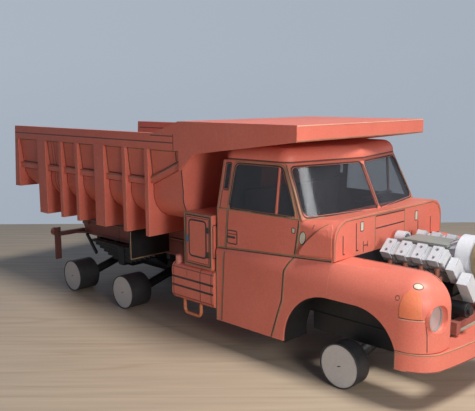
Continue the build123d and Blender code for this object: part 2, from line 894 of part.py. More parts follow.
with BuildPart() as seats:
    for side in (-1, 1):
        with Locations((seat_x + cushion_length / 2, side * seat_y, cushion_z + cushion_height / 2)):
            Box(cushion_length, seat_width, cushion_height)
        base_height = cushion_z - cab_floor_z - card
        with Locations((seat_x + cushion_length / 2, side * seat_y, cushion_z - base_height / 2)):
            Box(cushion_length - 2 * seat_base_inset, seat_width - 2 * seat_base_inset, base_height)
        back_z = cushion_z + cushion_height + seat_back_height / 2 - card
        with Locations((seat_x + seat_back_thickness / 2, side * seat_y, back_z)):
            Box(seat_back_thickness, seat_width, seat_back_height)
seats.part.label = "seats"
export_step(seats.part, "parts/seats.step")

steering_radius = 8.5
steering_rim = 0.7
steering_z = 66.5
steering_gap = 8.0
steering_tilt = 24.0
steering_column = 3.3
steering_hub = 1.6
spoke_width = 1.2
steering_x = screen_foot_x - steering_gap
with BuildPart() as steering_wheel:
    wheel_plane = Plane(origin=(steering_x, seat_y, steering_z)).rotated((0, -steering_tilt, 0))
    with BuildSketch(Plane(origin=wheel_plane.origin, x_dir=wheel_plane.x_dir, z_dir=wheel_plane.y_dir)):
        with Locations((steering_radius, 0)):
            Circle(steering_rim)
    revolve(axis=Axis(wheel_plane.origin, wheel_plane.z_dir))
    with BuildSketch(wheel_plane.offset(-steering_rim / 2)):
        Circle(steering_hub)
        Rectangle(2 * steering_radius, spoke_width)
        Rectangle(spoke_width, 2 * steering_radius)
    extrude(amount=steering_rim)
    with BuildSketch(wheel_plane.offset(-steering_rim / 2)):
        Circle(steering_hub / 2)
    extrude(amount=-steering_column)
steering_wheel.part.label = "steering_wheel"
export_step(steering_wheel.part, "parts/steering_wheel.step")

# Wings: rounded shells in front of the firewall, open below and towards the engine
lamp_y = 37.2
headlamp_z = 35.2
headlamp_radius = 5.2
shoulder_z = wing_top_z - wing_radius


def wing_shape(inset, side):
    """Solid of a wing or its hollow: a nose rounded all over, drawn out to the cab's shoulder."""
    inner_y = side * (wing_inner_y - inset)
    outer_y = side * (cab_side - inset)
    top_z = wing_top_z - inset
    bottom_z = wing_bottom_z - inset
    round_x = wing_front_x - wing_radius
    nose_length = 2 * wing_radius - inset
    nose_middle = (round_x - wing_radius + nose_length / 2, (inner_y + outer_y) / 2, (top_z + bottom_z) / 2)
    with BuildPart() as nose:
        with Locations(nose_middle):
            Box(nose_length, abs(outer_y - inner_y), top_z - bottom_z)
        outer_edges = nose.faces().sort_by(Axis.Y)[0 if side < 0 else -1].edges()
        front_edges = nose.faces().sort_by(Axis.X)[-1].edges()
        top_edges = nose.faces().sort_by(Axis.Z)[-1].edges()
        rounded = [edge for edge in top_edges if edge in outer_edges or edge in front_edges]
        rounded += [edge for edge in front_edges if edge in outer_edges]
        fillet(rounded, wing_radius - inset)
        split(bisect_by=Plane.YZ.offset(round_x), keep=Keep.TOP)
    stations = [
        (wing_rear_x - inset, side * (upper_front_y - inset), seam_front_z - inset),
        (round_x, side * (cab_side - wing_radius), top_z),
    ]
    with BuildPart() as shape:
        add(nose.part)
        for x, corner_y, corner_z in stations:
            with BuildSketch(Plane.YZ.offset(x)):
                with BuildLine():
                    TangentArc((outer_y, shoulder_z), (corner_y, corner_z), tangent=(0, 1))
                    Polyline((corner_y, corner_z), (inner_y, top_z), (inner_y, bottom_z))
                    Polyline((inner_y, bottom_z), (outer_y, bottom_z), (outer_y, shoulder_z))
                make_face()
        loft(ruled=True)
    return shape.part


wing_rear_x = firewall_x
for side_name, side in (("right", -1), ("left", 1)):
    wing_outside = wing_shape(0, side)
    wing_hollow = wing_shape(card, side)
    with BuildPart() as wing:
        add(wing_outside)
        add(wing_hollow, mode=Mode.SUBTRACT)
        with BuildSketch(Plane.XZ):
            add(arch_face(0))
        extrude(amount=body_side, both=True, mode=Mode.SUBTRACT)
        with BuildSketch(Plane.YZ.offset(wing_front_x - wing_radius)):
            with Locations((side * lamp_y, headlamp_z)):
                Circle(headlamp_radius)
        extrude(amount=2 * wing_radius, mode=Mode.SUBTRACT)
    wing.part.label = f"wing_{side_name}"
    export_step(wing.part, f"parts/wing_{side_name}.step")

# Black wheel-arch liners: a curved strip over the wheel, a wall towards the engine and a bulkhead
with BuildPart() as arch_liners:
    for side in (-1, 1):
        strip_width = cab_side - wing_inner_y - card
        strip_plane = Plane.XZ.offset(-side * (wing_inner_y + strip_width / 2))
        with BuildSketch(strip_plane, mode=Mode.PRIVATE) as strip:
            add(arch_face(card))
            add(arch_face(0), mode=Mode.SUBTRACT)
        extrude(strip.sketch, amount=strip_width / 2, both=True)
        with BuildSketch(Plane.XZ.offset(-side * (wing_inner_y + card / 2)), mode=Mode.PRIVATE) as wall:
            with BuildLine():
                TangentArc(
                    (wing_front_x - card, shoulder_z),
                    (wing_front_x - wing_radius, wing_top_z - card),
                    tangent=(0, 1),
                )
                Polyline(
                    (wing_front_x - wing_radius, wing_top_z - card),
                    (wing_rear_x, wing_top_z - card),
                    (wing_rear_x, cab_floor_z),
                    (arch_rear_x, cab_floor_z),
                    (arch_rear_x, wing_bottom_z),
                    (wing_front_x - card, wing_bottom_z),
                    (wing_front_x - card, shoulder_z),
                )
            make_face()
        extrude(wall.sketch, amount=card / 2, both=True)
    with BuildSketch(Plane.XY.offset(wing_bottom_z)):
        with Locations(((firewall_x + nose_x) / 2, 0)):
            Rectangle(nose_x - firewall_x, cab_width)
    extrude(amount=-wing_bottom_z, mode=Mode.SUBTRACT)
    with BuildSketch(Plane.YZ.offset(firewall_x)):
        with Locations((0, (cab_floor_z + wing_top_z) / 2)):
            Rectangle(2 * wing_inner_y, wing_top_z - cab_floor_z)
    extrude(amount=card)
arch_liners.part.label = "arch_liners"
export_step(arch_liners.part, "parts/arch_liners.step")

# Bumper: a card channel, open behind, bowed in plan
bumper_height = 7.0
bumper_top_z = wing_bottom_z - gap
bumper_bow = 3.5
bumper_depth = 9.0
bumper_corner_inset = 9.0
bumper_cheek_run = 8.5
bumper_cheek_inset = 2.2
bumper_wrap = 5.0
bumper_end_x = arch_front_x
bumper_corner_x = nose_x - bumper_bow
bumper_corner_y = cab_side - bumper_corner_inset
bumper_back_x = nose_x - bumper_depth
bumper_back_y = cab_side - 3 * bumper_wrap


def bumper_face(inset):
    corner_x = bumper_corner_x - inset
    cheek_x = bumper_end_x + bumper_cheek_run - inset / 2
    with BuildSketch(mode=Mode.PRIVATE) as plan:
        with BuildLine():
            for side in (-1, 1):
                end_y = side * (cab_side - inset)
                cheek_y = side * (cab_side - bumper_cheek_inset - inset)
                wrap_y = side * (cab_side - bumper_wrap)
                corner_y = side * bumper_corner_y
                ThreePointArc((bumper_end_x, end_y), (cheek_x, cheek_y), (corner_x, corner_y))
                Polyline((bumper_end_x, end_y), (bumper_end_x, wrap_y), (bumper_back_x, side * bumper_back_y))
            ThreePointArc((corner_x, -bumper_corner_y), (nose_x - inset, 0), (corner_x, bumper_corner_y))
            Line((bumper_back_x, -bumper_back_y), (bumper_back_x, bumper_back_y))
        make_face()
    return plan.sketch


with BuildPart() as bumper:
    with BuildSketch(Plane.XY.offset(bumper_top_z - bumper_height)):
        add(bumper_face(0))
    extrude(amount=bumper_height)
    with BuildSketch(Plane.XY.offset(bumper_top_z - bumper_height + card)):
        add(bumper_face(card))
    extrude(amount=bumper_height - 2 * card, mode=Mode.SUBTRACT)
bumper.part.label = "bumper"
export_step(bumper.part, "parts/bumper.step")

# Headlamps set into the wings
lens_thickness = 1.0
lamp_recess = 2.0
lamp_front_x = wing_front_x - lamp_recess
with BuildPart() as headlamp_rings:
    with BuildSketch(Plane.YZ.offset(lamp_front_x - 4 * card)):
        for side in (-1, 1):
            with Locations((side * lamp_y, headlamp_z)):
                Circle(headlamp_radius - gap / 3)
                Circle(headlamp_radius - card, mode=Mode.SUBTRACT)
    extrude(amount=4 * card)
headlamp_rings.part.label = "headlamp_rings"
export_step(headlamp_rings.part, "parts/headlamp_rings.step")

with BuildPart() as headlamp_lenses:
    with BuildSketch(Plane.YZ.offset(lamp_front_x - card / 2 - lens_thickness)):
        for side in (-1, 1):
            with Locations((side * lamp_y, headlamp_z)):
                Circle(headlamp_radius - card)
    extrude(amount=lens_thickness)
headlamp_lenses.part.label = "headlamp_lenses"
export_step(headlamp_lenses.part, "parts/headlamp_lenses.step")

# Engine: eight finned cylinders in two banks over a crankcase with a front plate
crank_z = 35.0
bank_angle = 40.0
cylinder_pitch = 7.0
first_cylinder_gap = 9.0
cylinders_per_bank = 4
barrel_radius = 2.3
fin_radius = 3.0
fin_thickness = 0.5
fin_pitch = 1.0
fin_count = 8
barrel_start = 9.0
fin_start = barrel_start + 1.2
head_start = 18.0
head_height = 2.5
head_length = 6.4
head_width = 7.0
rocker_height = 3.5
rocker_length = 4.4
rocker_width = 7.6
rocker_offset = -0.9
rocker_hole_radius = 0.6
rocker_hole_half = 2.0
head_block_length = 1.9
head_block_height = 2.6
head_block_offset = 2.4
crankcase_half = 8.0
crankcase_shoulder = 9.0
crankcase_foot = 6.0
crankcase_chamfer = 4.0
crankcase_bottom_z = 24.0
valley_floor_half = 3.0
valley_floor_z = crank_z + crankcase_shoulder
engine_end = 4.0
front_plate_half = 15.0
front_plate_bottom_z = 29.0
front_plate_height = 7.0
first_cylinder_x = firewall_x + first_cylinder_gap
cylinder_xs = [first_cylinder_x + cylinder_pitch * i for i in range(cylinders_per_bank)]
engine_rear_x = first_cylinder_x - engine_end
engine_front_x = cylinder_xs[-1] + engine_end
engine_middle_x = (engine_rear_x + engine_front_x) / 2


def bank_plane(x, side, distance):
    """Plane across a cylinder at a distance from the crank's line, its own X along the truck."""
    lean = Vector(0, side, 0).rotate(Axis.X, 90 * side - bank_angle * side)
    return Plane(origin=Vector(x, 0, crank_z) + lean * distance, x_dir=(1, 0, 0), z_dir=lean)


with BuildPart() as crankcase:
    with BuildSketch(Plane.YZ.offset(engine_rear_x)):
        with BuildLine():
            Polyline(
                (0, crankcase_bottom_z),
                (crankcase_foot, crankcase_bottom_z),
                (crankcase_half, crankcase_bottom_z + crankcase_chamfer),
                (crankcase_shoulder, crank_z + crankcase_chamfer),
                (valley_floor_half, valley_floor_z),
                (0, valley_floor_z),
            )
            mirror(about=Plane.YZ)
        make_face()
    extrude(amount=engine_front_x - engine_rear_x)
    with BuildSketch(Plane.YZ.offset(engine_front_x)):
        with Locations((0, front_plate_bottom_z + front_plate_height / 2)):
            Rectangle(2 * front_plate_half, front_plate_height)
    extrude(amount=card)
crankcase.part.label = "crankcase"
export_step(crankcase.part, "parts/crankcase.step")

with BuildPart() as cylinders:
    for side in (-1, 1):
        for x in cylinder_xs:
            with BuildSketch(bank_plane(x, side, barrel_start)):
                Circle(barrel_radius)
            extrude(amount=head_start - barrel_start)
            for i in range(fin_count):
                with BuildSketch(bank_plane(x, side, fin_start + fin_pitch * i)):
                    Circle(fin_radius)
                extrude(amount=fin_thickness)
            with BuildSketch(bank_plane(x, side, head_start)):
                Rectangle(head_length, head_width)
            extrude(amount=head_height)
    add(crankcase.part, mode=Mode.SUBTRACT)
cylinders.part.label = "cylinders"
export_step(cylinders.part, "parts/cylinders.step")

# White rocker boxes with two holes each, and a bright block beside each one
rocker_start = head_start + head_height
with BuildPart() as rocker_boxes:
    for side in (-1, 1):
        for x in cylinder_xs:
            with BuildSketch(bank_plane(x + rocker_offset, side, rocker_start)):
                Rectangle(rocker_length, rocker_width)
            extrude(amount=rocker_height)
            with BuildSketch(bank_plane(x + rocker_offset, side, rocker_start + rocker_height - card)):
                with Locations((0, rocker_hole_half), (0, -rocker_hole_half)):
                    Circle(rocker_hole_radius)
            extrude(amount=2 * card, mode=Mode.SUBTRACT)
rocker_boxes.part.label = "rocker_boxes"
export_step(rocker_boxes.part, "parts/rocker_boxes.step")

with BuildPart() as head_blocks:
    for side in (-1, 1):
        for x in cylinder_xs:
            with BuildSketch(bank_plane(x + head_block_offset, side, rocker_start)):
                RectangleRounded(head_block_length, head_width, head_block_length / 3)
            extrude(amount=head_block_height)
head_blocks.part.label = "head_blocks"
export_step(head_blocks.part, "parts/head_blocks.step")

# Copper-coloured pipes: a branch down from each head to a pipe along the bank
branch_radius = 1.0
manifold_radius = 1.2
branch_top = head_start + head_height / 2
branch_out = 3.6
manifold_distance = 16.0
manifold_out = 6.2
manifold_overhang = 1.8
with BuildPart() as engine_pipes:
    for side in (-1, 1):
        for x in cylinder_xs:
            top = bank_plane(x, side, branch_top).from_local_coords(Vector(0, side * branch_out, 0))
            foot_plane = bank_plane(x, side, manifold_distance)
            foot = foot_plane.from_local_coords(Vector(0, side * manifold_out, 0))
            with BuildSketch(Plane(origin=top, z_dir=foot - top)):
                Circle(branch_radius)
            extrude(amount=(foot - top).length)
        rear_plane = bank_plane(cylinder_xs[0] - manifold_overhang, side, manifold_distance)
        rear_end = rear_plane.from_local_coords(Vector(0, side * manifold_out, 0))
        with BuildSketch(Plane(origin=rear_end, z_dir=(1, 0, 0))):
            Circle(manifold_radius)
        extrude(amount=cylinder_xs[-1] - cylinder_xs[0] + 2 * manifold_overhang)
    add(cylinders.part, mode=Mode.SUBTRACT)
engine_pipes.part.label = "engine_pipes"
export_step(engine_pipes.part, "parts/engine_pipes.step")

valley_half = 4.6
valley_cover_half = 6.5
valley_cover_inset = 4.5
valley_top_z = 55.2
valley_length = engine_front_x - engine_rear_x - 2 * valley_cover_inset
with BuildPart() as valley_cover:
    with Locations((engine_middle_x, 0, valley_top_z - card / 2)):
        Box(valley_length, 2 * valley_cover_half, card)
    with BuildSketch(Plane.XY.offset(valley_floor_z)):
        with Locations((engine_middle_x, 0)):
            Rectangle(valley_length - 2 * card, 2 * valley_half)
    extrude(amount=valley_top_z - card - valley_floor_z)
    add(cylinders.part, mode=Mode.SUBTRACT)
valley_cover.part.label = "valley_cover"
export_step(valley_cover.part, "parts/valley_cover.step")

# Fan drum with a ribbed cone behind it, a brassy rim in front and the fan's rotor inside
fan_z = 51.3
fan_radius = 8.0
fan_overlap = 0.5
fan_depth = 8.5
cone_depth = 6.0
cone_radius = 3.5
cone_ribs = 14
rib_thickness = 0.5
rib_height = 0.6
fan_rear_x = engine_front_x - fan_overlap
fan_front_x = fan_rear_x + fan_depth
with BuildPart() as fan_shroud:
    with BuildSketch(Plane.YZ.offset(fan_rear_x)):
        with Locations((0, fan_z)):
            Circle(fan_radius)
            Circle(fan_radius - card, mode=Mode.SUBTRACT)
    extrude(amount=fan_depth)
    with BuildSketch(Plane.YZ.offset(fan_rear_x)):
        with Locations((0, fan_z)):
            Circle(fan_radius)
    extrude(amount=card)
    with BuildSketch(Plane.YZ.offset(fan_rear_x)):
        with Locations((0, fan_z)):
            Circle(fan_radius - card)
    with BuildSketch(Plane.YZ.offset(fan_rear_x - cone_depth)):
        with Locations((0, fan_z)):
            Circle(cone_radius)
    loft(ruled=True)
    for i in range(cone_ribs):
        normal = Vector(0, 0, 1).rotate(Axis.X, 360 * i / cone_ribs)
        with BuildSketch(Plane(origin=(fan_rear_x, 0, fan_z), x_dir=(1, 0, 0), z_dir=normal)):
            with BuildLine():
                Polyline(
                    (0, fan_radius - 2 * card),
                    (0, fan_radius - card + rib_height),
                    (-cone_depth, cone_radius + rib_height),
                    (-cone_depth, cone_radius - card),
                    close=True,
                )
            make_face()
        extrude(amount=rib_thickness / 2, both=True)
    add(cylinders.part, mode=Mode.SUBTRACT)
    add(rocker_boxes.part, mode=Mode.SUBTRACT)
    add(valley_cover.part, mode=Mode.SUBTRACT)
    add(crankcase.part, mode=Mode.SUBTRACT)
fan_shroud.part.label = "fan_shroud"
export_step(fan_shroud.part, "parts/fan_shroud.step")

rim_width = 1.5
rim_proud = 0.6
rim_lip = 1.5
with BuildPart() as fan_rim:
    with BuildSketch(Plane.YZ.offset(fan_front_x - rim_width)):
        with Locations((0, fan_z)):
            Circle(fan_radius + rim_proud)
            Circle(fan_radius, mode=Mode.SUBTRACT)
    extrude(amount=rim_width)
    with BuildSketch(Plane.YZ.offset(fan_front_x)):
        with Locations((0, fan_z)):
            Circle(fan_radius + rim_proud)
            Circle(fan_radius - rim_lip, mode=Mode.SUBTRACT)
    extrude(amount=rim_proud)
fan_rim.part.label = "fan_rim"
export_step(fan_rim.part, "parts/fan_rim.step")

fan_blades = 12
hub_radius = 3.2
blade_length = 4.2
blade_thickness = 0.6
blade_middle = hub_radius + 1.6
with BuildPart() as fan_rotor:
    with BuildSketch(Plane.YZ.offset(fan_rear_x + card)):
        with Locations((0, fan_z)):
            Circle(hub_radius)
    extrude(amount=fan_depth - 2 * card)
    with BuildSketch(Plane.YZ.offset(fan_rear_x + 2 * card)):
        with Locations((0, fan_z)):
            with PolarLocations(blade_middle, fan_blades):
                Rectangle(blade_length, blade_thickness)
    extrude(amount=fan_depth - 4 * card)
fan_rotor.part.label = "fan_rotor"
export_step(fan_rotor.part, "parts/fan_rotor.step")

# White parts around the engine: a pipe mouth behind the valley and two leaning boxes by the fan
mouth_gap = 3.5
mouth_length = 4.5
mouth_radius = 3.3
mouth_bore = 2.4
mouth_z = 53.5
mouth_stem_radius = 1.2
tall_box = (3.4, 6.4)
tall_box_start = 12.0
tall_box_top = 20.5
tall_box_out = 1.0
low_box = (4.4, 6.0)
low_box_start = 5.3
low_box_top = 16.3
low_box_out = 3.9
tall_box_x = engine_front_x + tall_box[0] / 2
low_box_x = tall_box_x + (tall_box[0] + low_box[0]) / 2 + card
leaning_boxes = [
    (tall_box_x, tall_box, tall_box_start, tall_box_top, tall_box_out),
    (low_box_x, low_box, low_box_start, low_box_top, low_box_out),
]
mouth_x = firewall_x + mouth_gap
with BuildPart() as engine_boxes:
    with BuildSketch(Plane.XY.offset(valley_floor_z)):
        with Locations((mouth_x + mouth_length / 2, 0)):
            Circle(mouth_stem_radius)
    extrude(amount=mouth_z - valley_floor_z)
    with BuildSketch(Plane.YZ.offset(mouth_x)):
        with Locations((0, mouth_z)):
            Circle(mouth_radius)
    extrude(amount=mouth_length)
    with BuildSketch(Plane.YZ.offset(mouth_x + card)):
        with Locations((0, mouth_z)):
            Circle(mouth_bore)
    extrude(amount=mouth_length, mode=Mode.SUBTRACT)
    for side in (-1, 1):
        for x, size, start, top, out in leaning_boxes:
            with BuildSketch(bank_plane(x, side, start)):
                with Locations((0, side * out)):
                    Rectangle(*size)
            extrude(amount=top - start)
engine_boxes.part.label = "engine_boxes"
export_step(engine_boxes.part, "parts/engine_boxes.step")

# Starter on the front plate, on the right
starter_y = -11.5
starter_z = 32.2
starter_radius = 3.0
starter_length = 7.0
starter_nose_radius = 1.7
starter_nose_length = 1.3
starter_x = engine_front_x + card
with BuildPart() as starter:
    with BuildSketch(Plane.YZ.offset(starter_x)):
        with Locations((starter_y, starter_z)):
            Circle(starter_radius)
    extrude(amount=starter_length)
    with BuildSketch(Plane.YZ.offset(starter_x + starter_length)):
        with Locations((starter_y, starter_z)):
            Circle(starter_nose_radius)
    extrude(amount=starter_nose_length)
    add(engine_boxes.part, mode=Mode.SUBTRACT)
starter.part.label = "starter"
export_step(starter.part, "parts/starter.step")

# Behind the cab, both sides: a cabinet over a fuel tank with a filler cap and a wire step
tank_inset = 1.5
tank_length = 29.2
tank_bottom_z = 17.0
tank_top_z = 35.5
tank_corner = 3.5
tank_side = body_side - tank_inset
tank_front_x = cab_back_x - gap
tank_rear_x = tank_front_x - tank_length
cap_radius = 2.0
cap_height = 3.0
cap_foot = 1.5
cap_rear_inset = 3.0
cap_side_inset = 3.0
cabinet_rear_gap = 1.5
cabinet_front_gap = 1.2
cabinet_inner_y = 24.0
cabinet_top_z = 61.0
cabinet_rear_x = bed_front_x + cabinet_rear_gap
cabinet_front_x = cab_back_x - cabinet_front_gap
step_wire = 0.8
step_bend = 2.5
step_z = 10.5
step_width = 11.5
step_rear_inset = 6.0
step_side_inset = 3.0
with BuildPart() as fuel_tanks:
    for side in (-1, 1):
        tank_width = tank_side - rail_outer_y
        tank_height = tank_top_z - tank_bottom_z
        with BuildSketch(Plane.YZ.offset(tank_rear_x)):
            with Locations((side * (rail_outer_y + tank_width / 2), tank_bottom_z + tank_height / 2)):
                section = Rectangle(tank_width, tank_height)
            outer_corners = section.vertices().group_by(Axis.X)[0 if side < 0 else -1]
            fillet(outer_corners, tank_corner)
        extrude(amount=tank_length)
        with BuildSketch(Plane.XY.offset(tank_top_z - cap_foot)):
            with Locations((tank_rear_x + cap_rear_inset, side * (tank_side - cap_side_inset))):
                Circle(cap_radius)
        extrude(amount=cap_foot + cap_height)
fuel_tanks.part.label = "fuel_tanks"
export_step(fuel_tanks.part, "parts/fuel_tanks.step")

with BuildPart() as cabinets:
    for side in (-1, 1):
        cabinet_middle = ((cabinet_rear_x + cabinet_front_x) / 2, side * (cabinet_inner_y + tank_side) / 2)
        with BuildSketch(Plane.XY.offset(tank_top_z)):
            with Locations(cabinet_middle):
                Rectangle(cabinet_front_x - cabinet_rear_x, tank_side - cabinet_inner_y)
        extrude(amount=cabinet_top_z - tank_top_z)
cabinets.part.label = "cabinets"
export_step(cabinets.part, "parts/cabinets.step")

loop_rear_x = tank_rear_x + step_rear_inset
loop_front_x = loop_rear_x + step_width
with BuildPart() as step_loops:
    for side in (-1, 1):
        loop_y = side * (tank_side - step_side_inset)
        with BuildLine() as loop_path:
            FilletPolyline(
                (loop_rear_x, loop_y, tank_bottom_z),
                (loop_rear_x, loop_y, step_z),
                (loop_front_x, loop_y, step_z),
                (loop_front_x, loop_y, tank_bottom_z),
                radius=step_bend,
            )
        with BuildSketch(Plane(origin=(loop_rear_x, loop_y, tank_bottom_z), z_dir=(0, 0, -1))):
            Circle(step_wire)
        sweep(path=loop_path.line)
step_loops.part.label = "step_loops"
export_step(step_loops.part, "parts/step_loops.step")
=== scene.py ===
import bpy
import bmesh
import json
import math
from mathutils import Matrix, Vector
from mathutils.bvhtree import BVHTree


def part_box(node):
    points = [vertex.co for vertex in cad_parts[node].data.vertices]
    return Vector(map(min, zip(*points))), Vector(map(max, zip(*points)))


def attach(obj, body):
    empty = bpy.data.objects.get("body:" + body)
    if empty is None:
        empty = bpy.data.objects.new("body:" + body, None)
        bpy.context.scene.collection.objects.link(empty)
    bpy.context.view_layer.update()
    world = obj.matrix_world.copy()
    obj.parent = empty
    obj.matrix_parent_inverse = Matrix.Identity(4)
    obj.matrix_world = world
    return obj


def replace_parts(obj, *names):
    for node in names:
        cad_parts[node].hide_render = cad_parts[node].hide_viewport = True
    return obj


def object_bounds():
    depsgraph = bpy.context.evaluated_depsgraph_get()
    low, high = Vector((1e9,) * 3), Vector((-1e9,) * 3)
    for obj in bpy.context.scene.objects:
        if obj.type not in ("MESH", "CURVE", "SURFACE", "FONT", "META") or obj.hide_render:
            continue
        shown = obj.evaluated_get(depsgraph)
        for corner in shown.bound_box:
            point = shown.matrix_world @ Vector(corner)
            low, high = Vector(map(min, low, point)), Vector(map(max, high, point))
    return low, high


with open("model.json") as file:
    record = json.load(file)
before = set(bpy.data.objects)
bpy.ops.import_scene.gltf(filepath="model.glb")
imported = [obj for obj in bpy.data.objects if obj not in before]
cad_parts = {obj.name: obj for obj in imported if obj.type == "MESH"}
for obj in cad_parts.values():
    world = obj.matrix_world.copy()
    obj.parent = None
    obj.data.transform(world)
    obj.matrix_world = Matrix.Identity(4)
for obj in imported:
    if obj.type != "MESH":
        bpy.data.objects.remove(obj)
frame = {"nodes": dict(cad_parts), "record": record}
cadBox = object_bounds()
nodes = frame["nodes"]
record = frame["record"]
mm = 0.001
rightSide, leftSide = -1, 1
bothSides = ((rightSide, "right"), (leftSide, "left"))
print("frame loaded:", len(nodes), "nodes")


def boxOf(nodeName):
    low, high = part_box(nodeName)
    return [v / mm for v in low], [v / mm for v in high]


def put(tree, kind, **settings):
    made = tree.nodes.new(kind)
    for name, value in settings.items():
        setattr(made, name, value)
    return made


# Values are linked where they are sockets and set where they are numbers; colours may leave out their alpha
def feed(tree, made, values):
    for label, value in values.items():
        socket = made.inputs[label]
        if isinstance(value, bpy.types.NodeSocket):
            tree.links.new(value, socket)
        elif isinstance(value, tuple):
            socket.default_value = (*value, 1.0)[:len(socket.default_value)]
        else:
            socket.default_value = value
    return made


def mathNode(tree, operation, *values, clamp=False):
    made = put(tree, "ShaderNodeMath", operation=operation, use_clamp=clamp)
    return feed(tree, made, dict(enumerate(values))).outputs[0]


def rampNode(tree, factor, low, high, bottom=0.0, top=1.0):
    values = {"Value": factor, "From Min": low, "From Max": high, "To Min": bottom, "To Max": top}
    return feed(tree, put(tree, "ShaderNodeMapRange", clamp=True), values).outputs[0]


def mixColours(tree, factor, first, second, blend="MIX"):
    made = put(tree, "ShaderNodeMix", data_type="RGBA", blend_type=blend)
    return feed(tree, made, {0: factor, 6: first, 7: second}).outputs[2]


def objectPlace(tree):
    return put(tree, "ShaderNodeTexCoord").outputs["Object"]


def splitPlace(tree, place):
    return feed(tree, put(tree, "ShaderNodeSeparateXYZ"), {0: place}).outputs


def noiseNode(tree, place, scale, detail=2.0, roughness=0.5, distortion=0.0):
    made = feed(tree, put(tree, "ShaderNodeTexNoise"), {"Vector": place, "Scale": scale, "Detail": detail})
    return feed(tree, made, {"Roughness": roughness, "Distortion": distortion}).outputs["Fac"]


def mappedPlace(tree, place, socket, values):
    return feed(tree, put(tree, "ShaderNodeMapping"), {"Vector": place, socket: values}).outputs[0]


def vectorNode(tree, operation, *values):
    made = feed(tree, put(tree, "ShaderNodeVectorMath", operation=operation), dict(enumerate(values)))
    return made.outputs["Value" if operation == "DOT_PRODUCT" else "Vector"]


def nodeGroup(name, inputs, outputs, kind="ShaderNodeTree"):
    tree = bpy.data.node_groups.new(name, kind)
    for way, sockets in (("INPUT", inputs), ("OUTPUT", outputs)):
        for label, socket in sockets.items():
            tree.interface.new_socket(name=label, in_out=way, socket_type="NodeSocket" + socket)
    return tree, tree.nodes.new("NodeGroupInput").outputs, tree.nodes.new("NodeGroupOutput")


# Printed card: mottled ink, fine fibre and a few scuffs, read from object coordinates
paper = {
    "blotchScale": 55.0, "fibreScale": 1400.0, "grainScale": 320.0,
    "blotchFrom": 0.35, "blotchTo": 0.68, "scuffFrom": 0.60, "scuffTo": 0.74,
    "scuffColour": (0.80, 0.66, 0.58), "fibreDark": 0.94, "fibreLight": 1.04,
    "smooth": 0.42, "rough": 0.58, "bumpDepth": 0.0002,
}


def buildCardPrint():
    tree, given, exitNode = nodeGroup(
        "cardPrint", {"Colour": "Color", "Tint": "Color", "Mottle": "Float", "Scuff": "Float"},
        {"Colour": "Color", "Roughness": "Float", "Height": "Float"},
    )
    place = objectPlace(tree)
    blotch = noiseNode(tree, place, paper["blotchScale"], 5.0, 0.62)
    fibre = noiseNode(tree, place, paper["fibreScale"], 3.0)
    grain = noiseNode(tree, place, paper["grainScale"], 4.0)
    blotchMask = rampNode(tree, blotch, paper["blotchFrom"], paper["blotchTo"])
    amount = mathNode(tree, "MULTIPLY", blotchMask, given["Mottle"])
    tinted = mixColours(tree, amount, given["Colour"], given["Tint"])
    speck = rampNode(tree, grain, paper["scuffFrom"], paper["scuffTo"])
    paled = mixColours(tree, mathNode(tree, "MULTIPLY", speck, given["Scuff"]), tinted, paper["scuffColour"])
    fibreShade = rampNode(tree, fibre, 0.3, 0.7, paper["fibreDark"], paper["fibreLight"])
    shade = feed(tree, put(tree, "ShaderNodeCombineColor"), {index: fibreShade for index in range(3)})
    feed(tree, exitNode, {
        "Colour": mixColours(tree, 1.0, paled, shade.outputs[0], "MULTIPLY"),
        "Roughness": rampNode(tree, grain, 0.3, 0.7, paper["smooth"], paper["rough"]),
        "Height": mathNode(tree, "ADD", mathNode(tree, "MULTIPLY", fibre, 0.5), blotch),
    })
    return tree


# Cut and folded edges: where a rounded normal leaves the face's own, the card's pale core shows
cut = {
    "bendFrom": 0.04, "bendTo": 0.22, "patchScale": 210.0, "patchFrom": 0.38, "patchTo": 0.62, "least": 0.25,
}


def buildCutEdge():
    tree, given, exitNode = nodeGroup(
        "cutEdge", {"Radius": "Float", "Wear": "Float"}, {"Mask": "Float", "Normal": "Vector"}
    )
    rounded = feed(tree, put(tree, "ShaderNodeBevel", samples=4), {"Radius": given["Radius"]}).outputs[0]
    flat = put(tree, "ShaderNodeNewGeometry").outputs["Normal"]
    bend = mathNode(tree, "SUBTRACT", 1.0, vectorNode(tree, "DOT_PRODUCT", rounded, flat))
    edge = rampNode(tree, bend, cut["bendFrom"], cut["bendTo"])
    patchy = noiseNode(tree, objectPlace(tree), cut["patchScale"], 3.0)
    broken = rampNode(tree, patchy, cut["patchFrom"], cut["patchTo"], cut["least"], 1.0)
    shown = mathNode(tree, "MULTIPLY", edge, broken)
    worn = mathNode(tree, "MULTIPLY", shown, given["Wear"], clamp=True)
    feed(tree, exitNode, {"Mask": worn, "Normal": rounded})
    return tree


# Faces that look towards a middle point are the inside of the cab; the cab cards paint these near-black,
# painted shade for its dark inside
def buildInside():
    tree, given, exitNode = nodeGroup("insideFace", {"Middle": "Vector"}, {"Mask": "Float"})
    place = put(tree, "ShaderNodeTexCoord").outputs
    away = vectorNode(tree, "SUBTRACT", place["Object"], given["Middle"])
    facing = vectorNode(tree, "DOT_PRODUCT", vectorNode(tree, "NORMALIZE", away), place["Normal"])
    feed(tree, exitNode, {"Mask": rampNode(tree, facing, -0.08, -0.02, 1.0, 0.0)})
    return tree


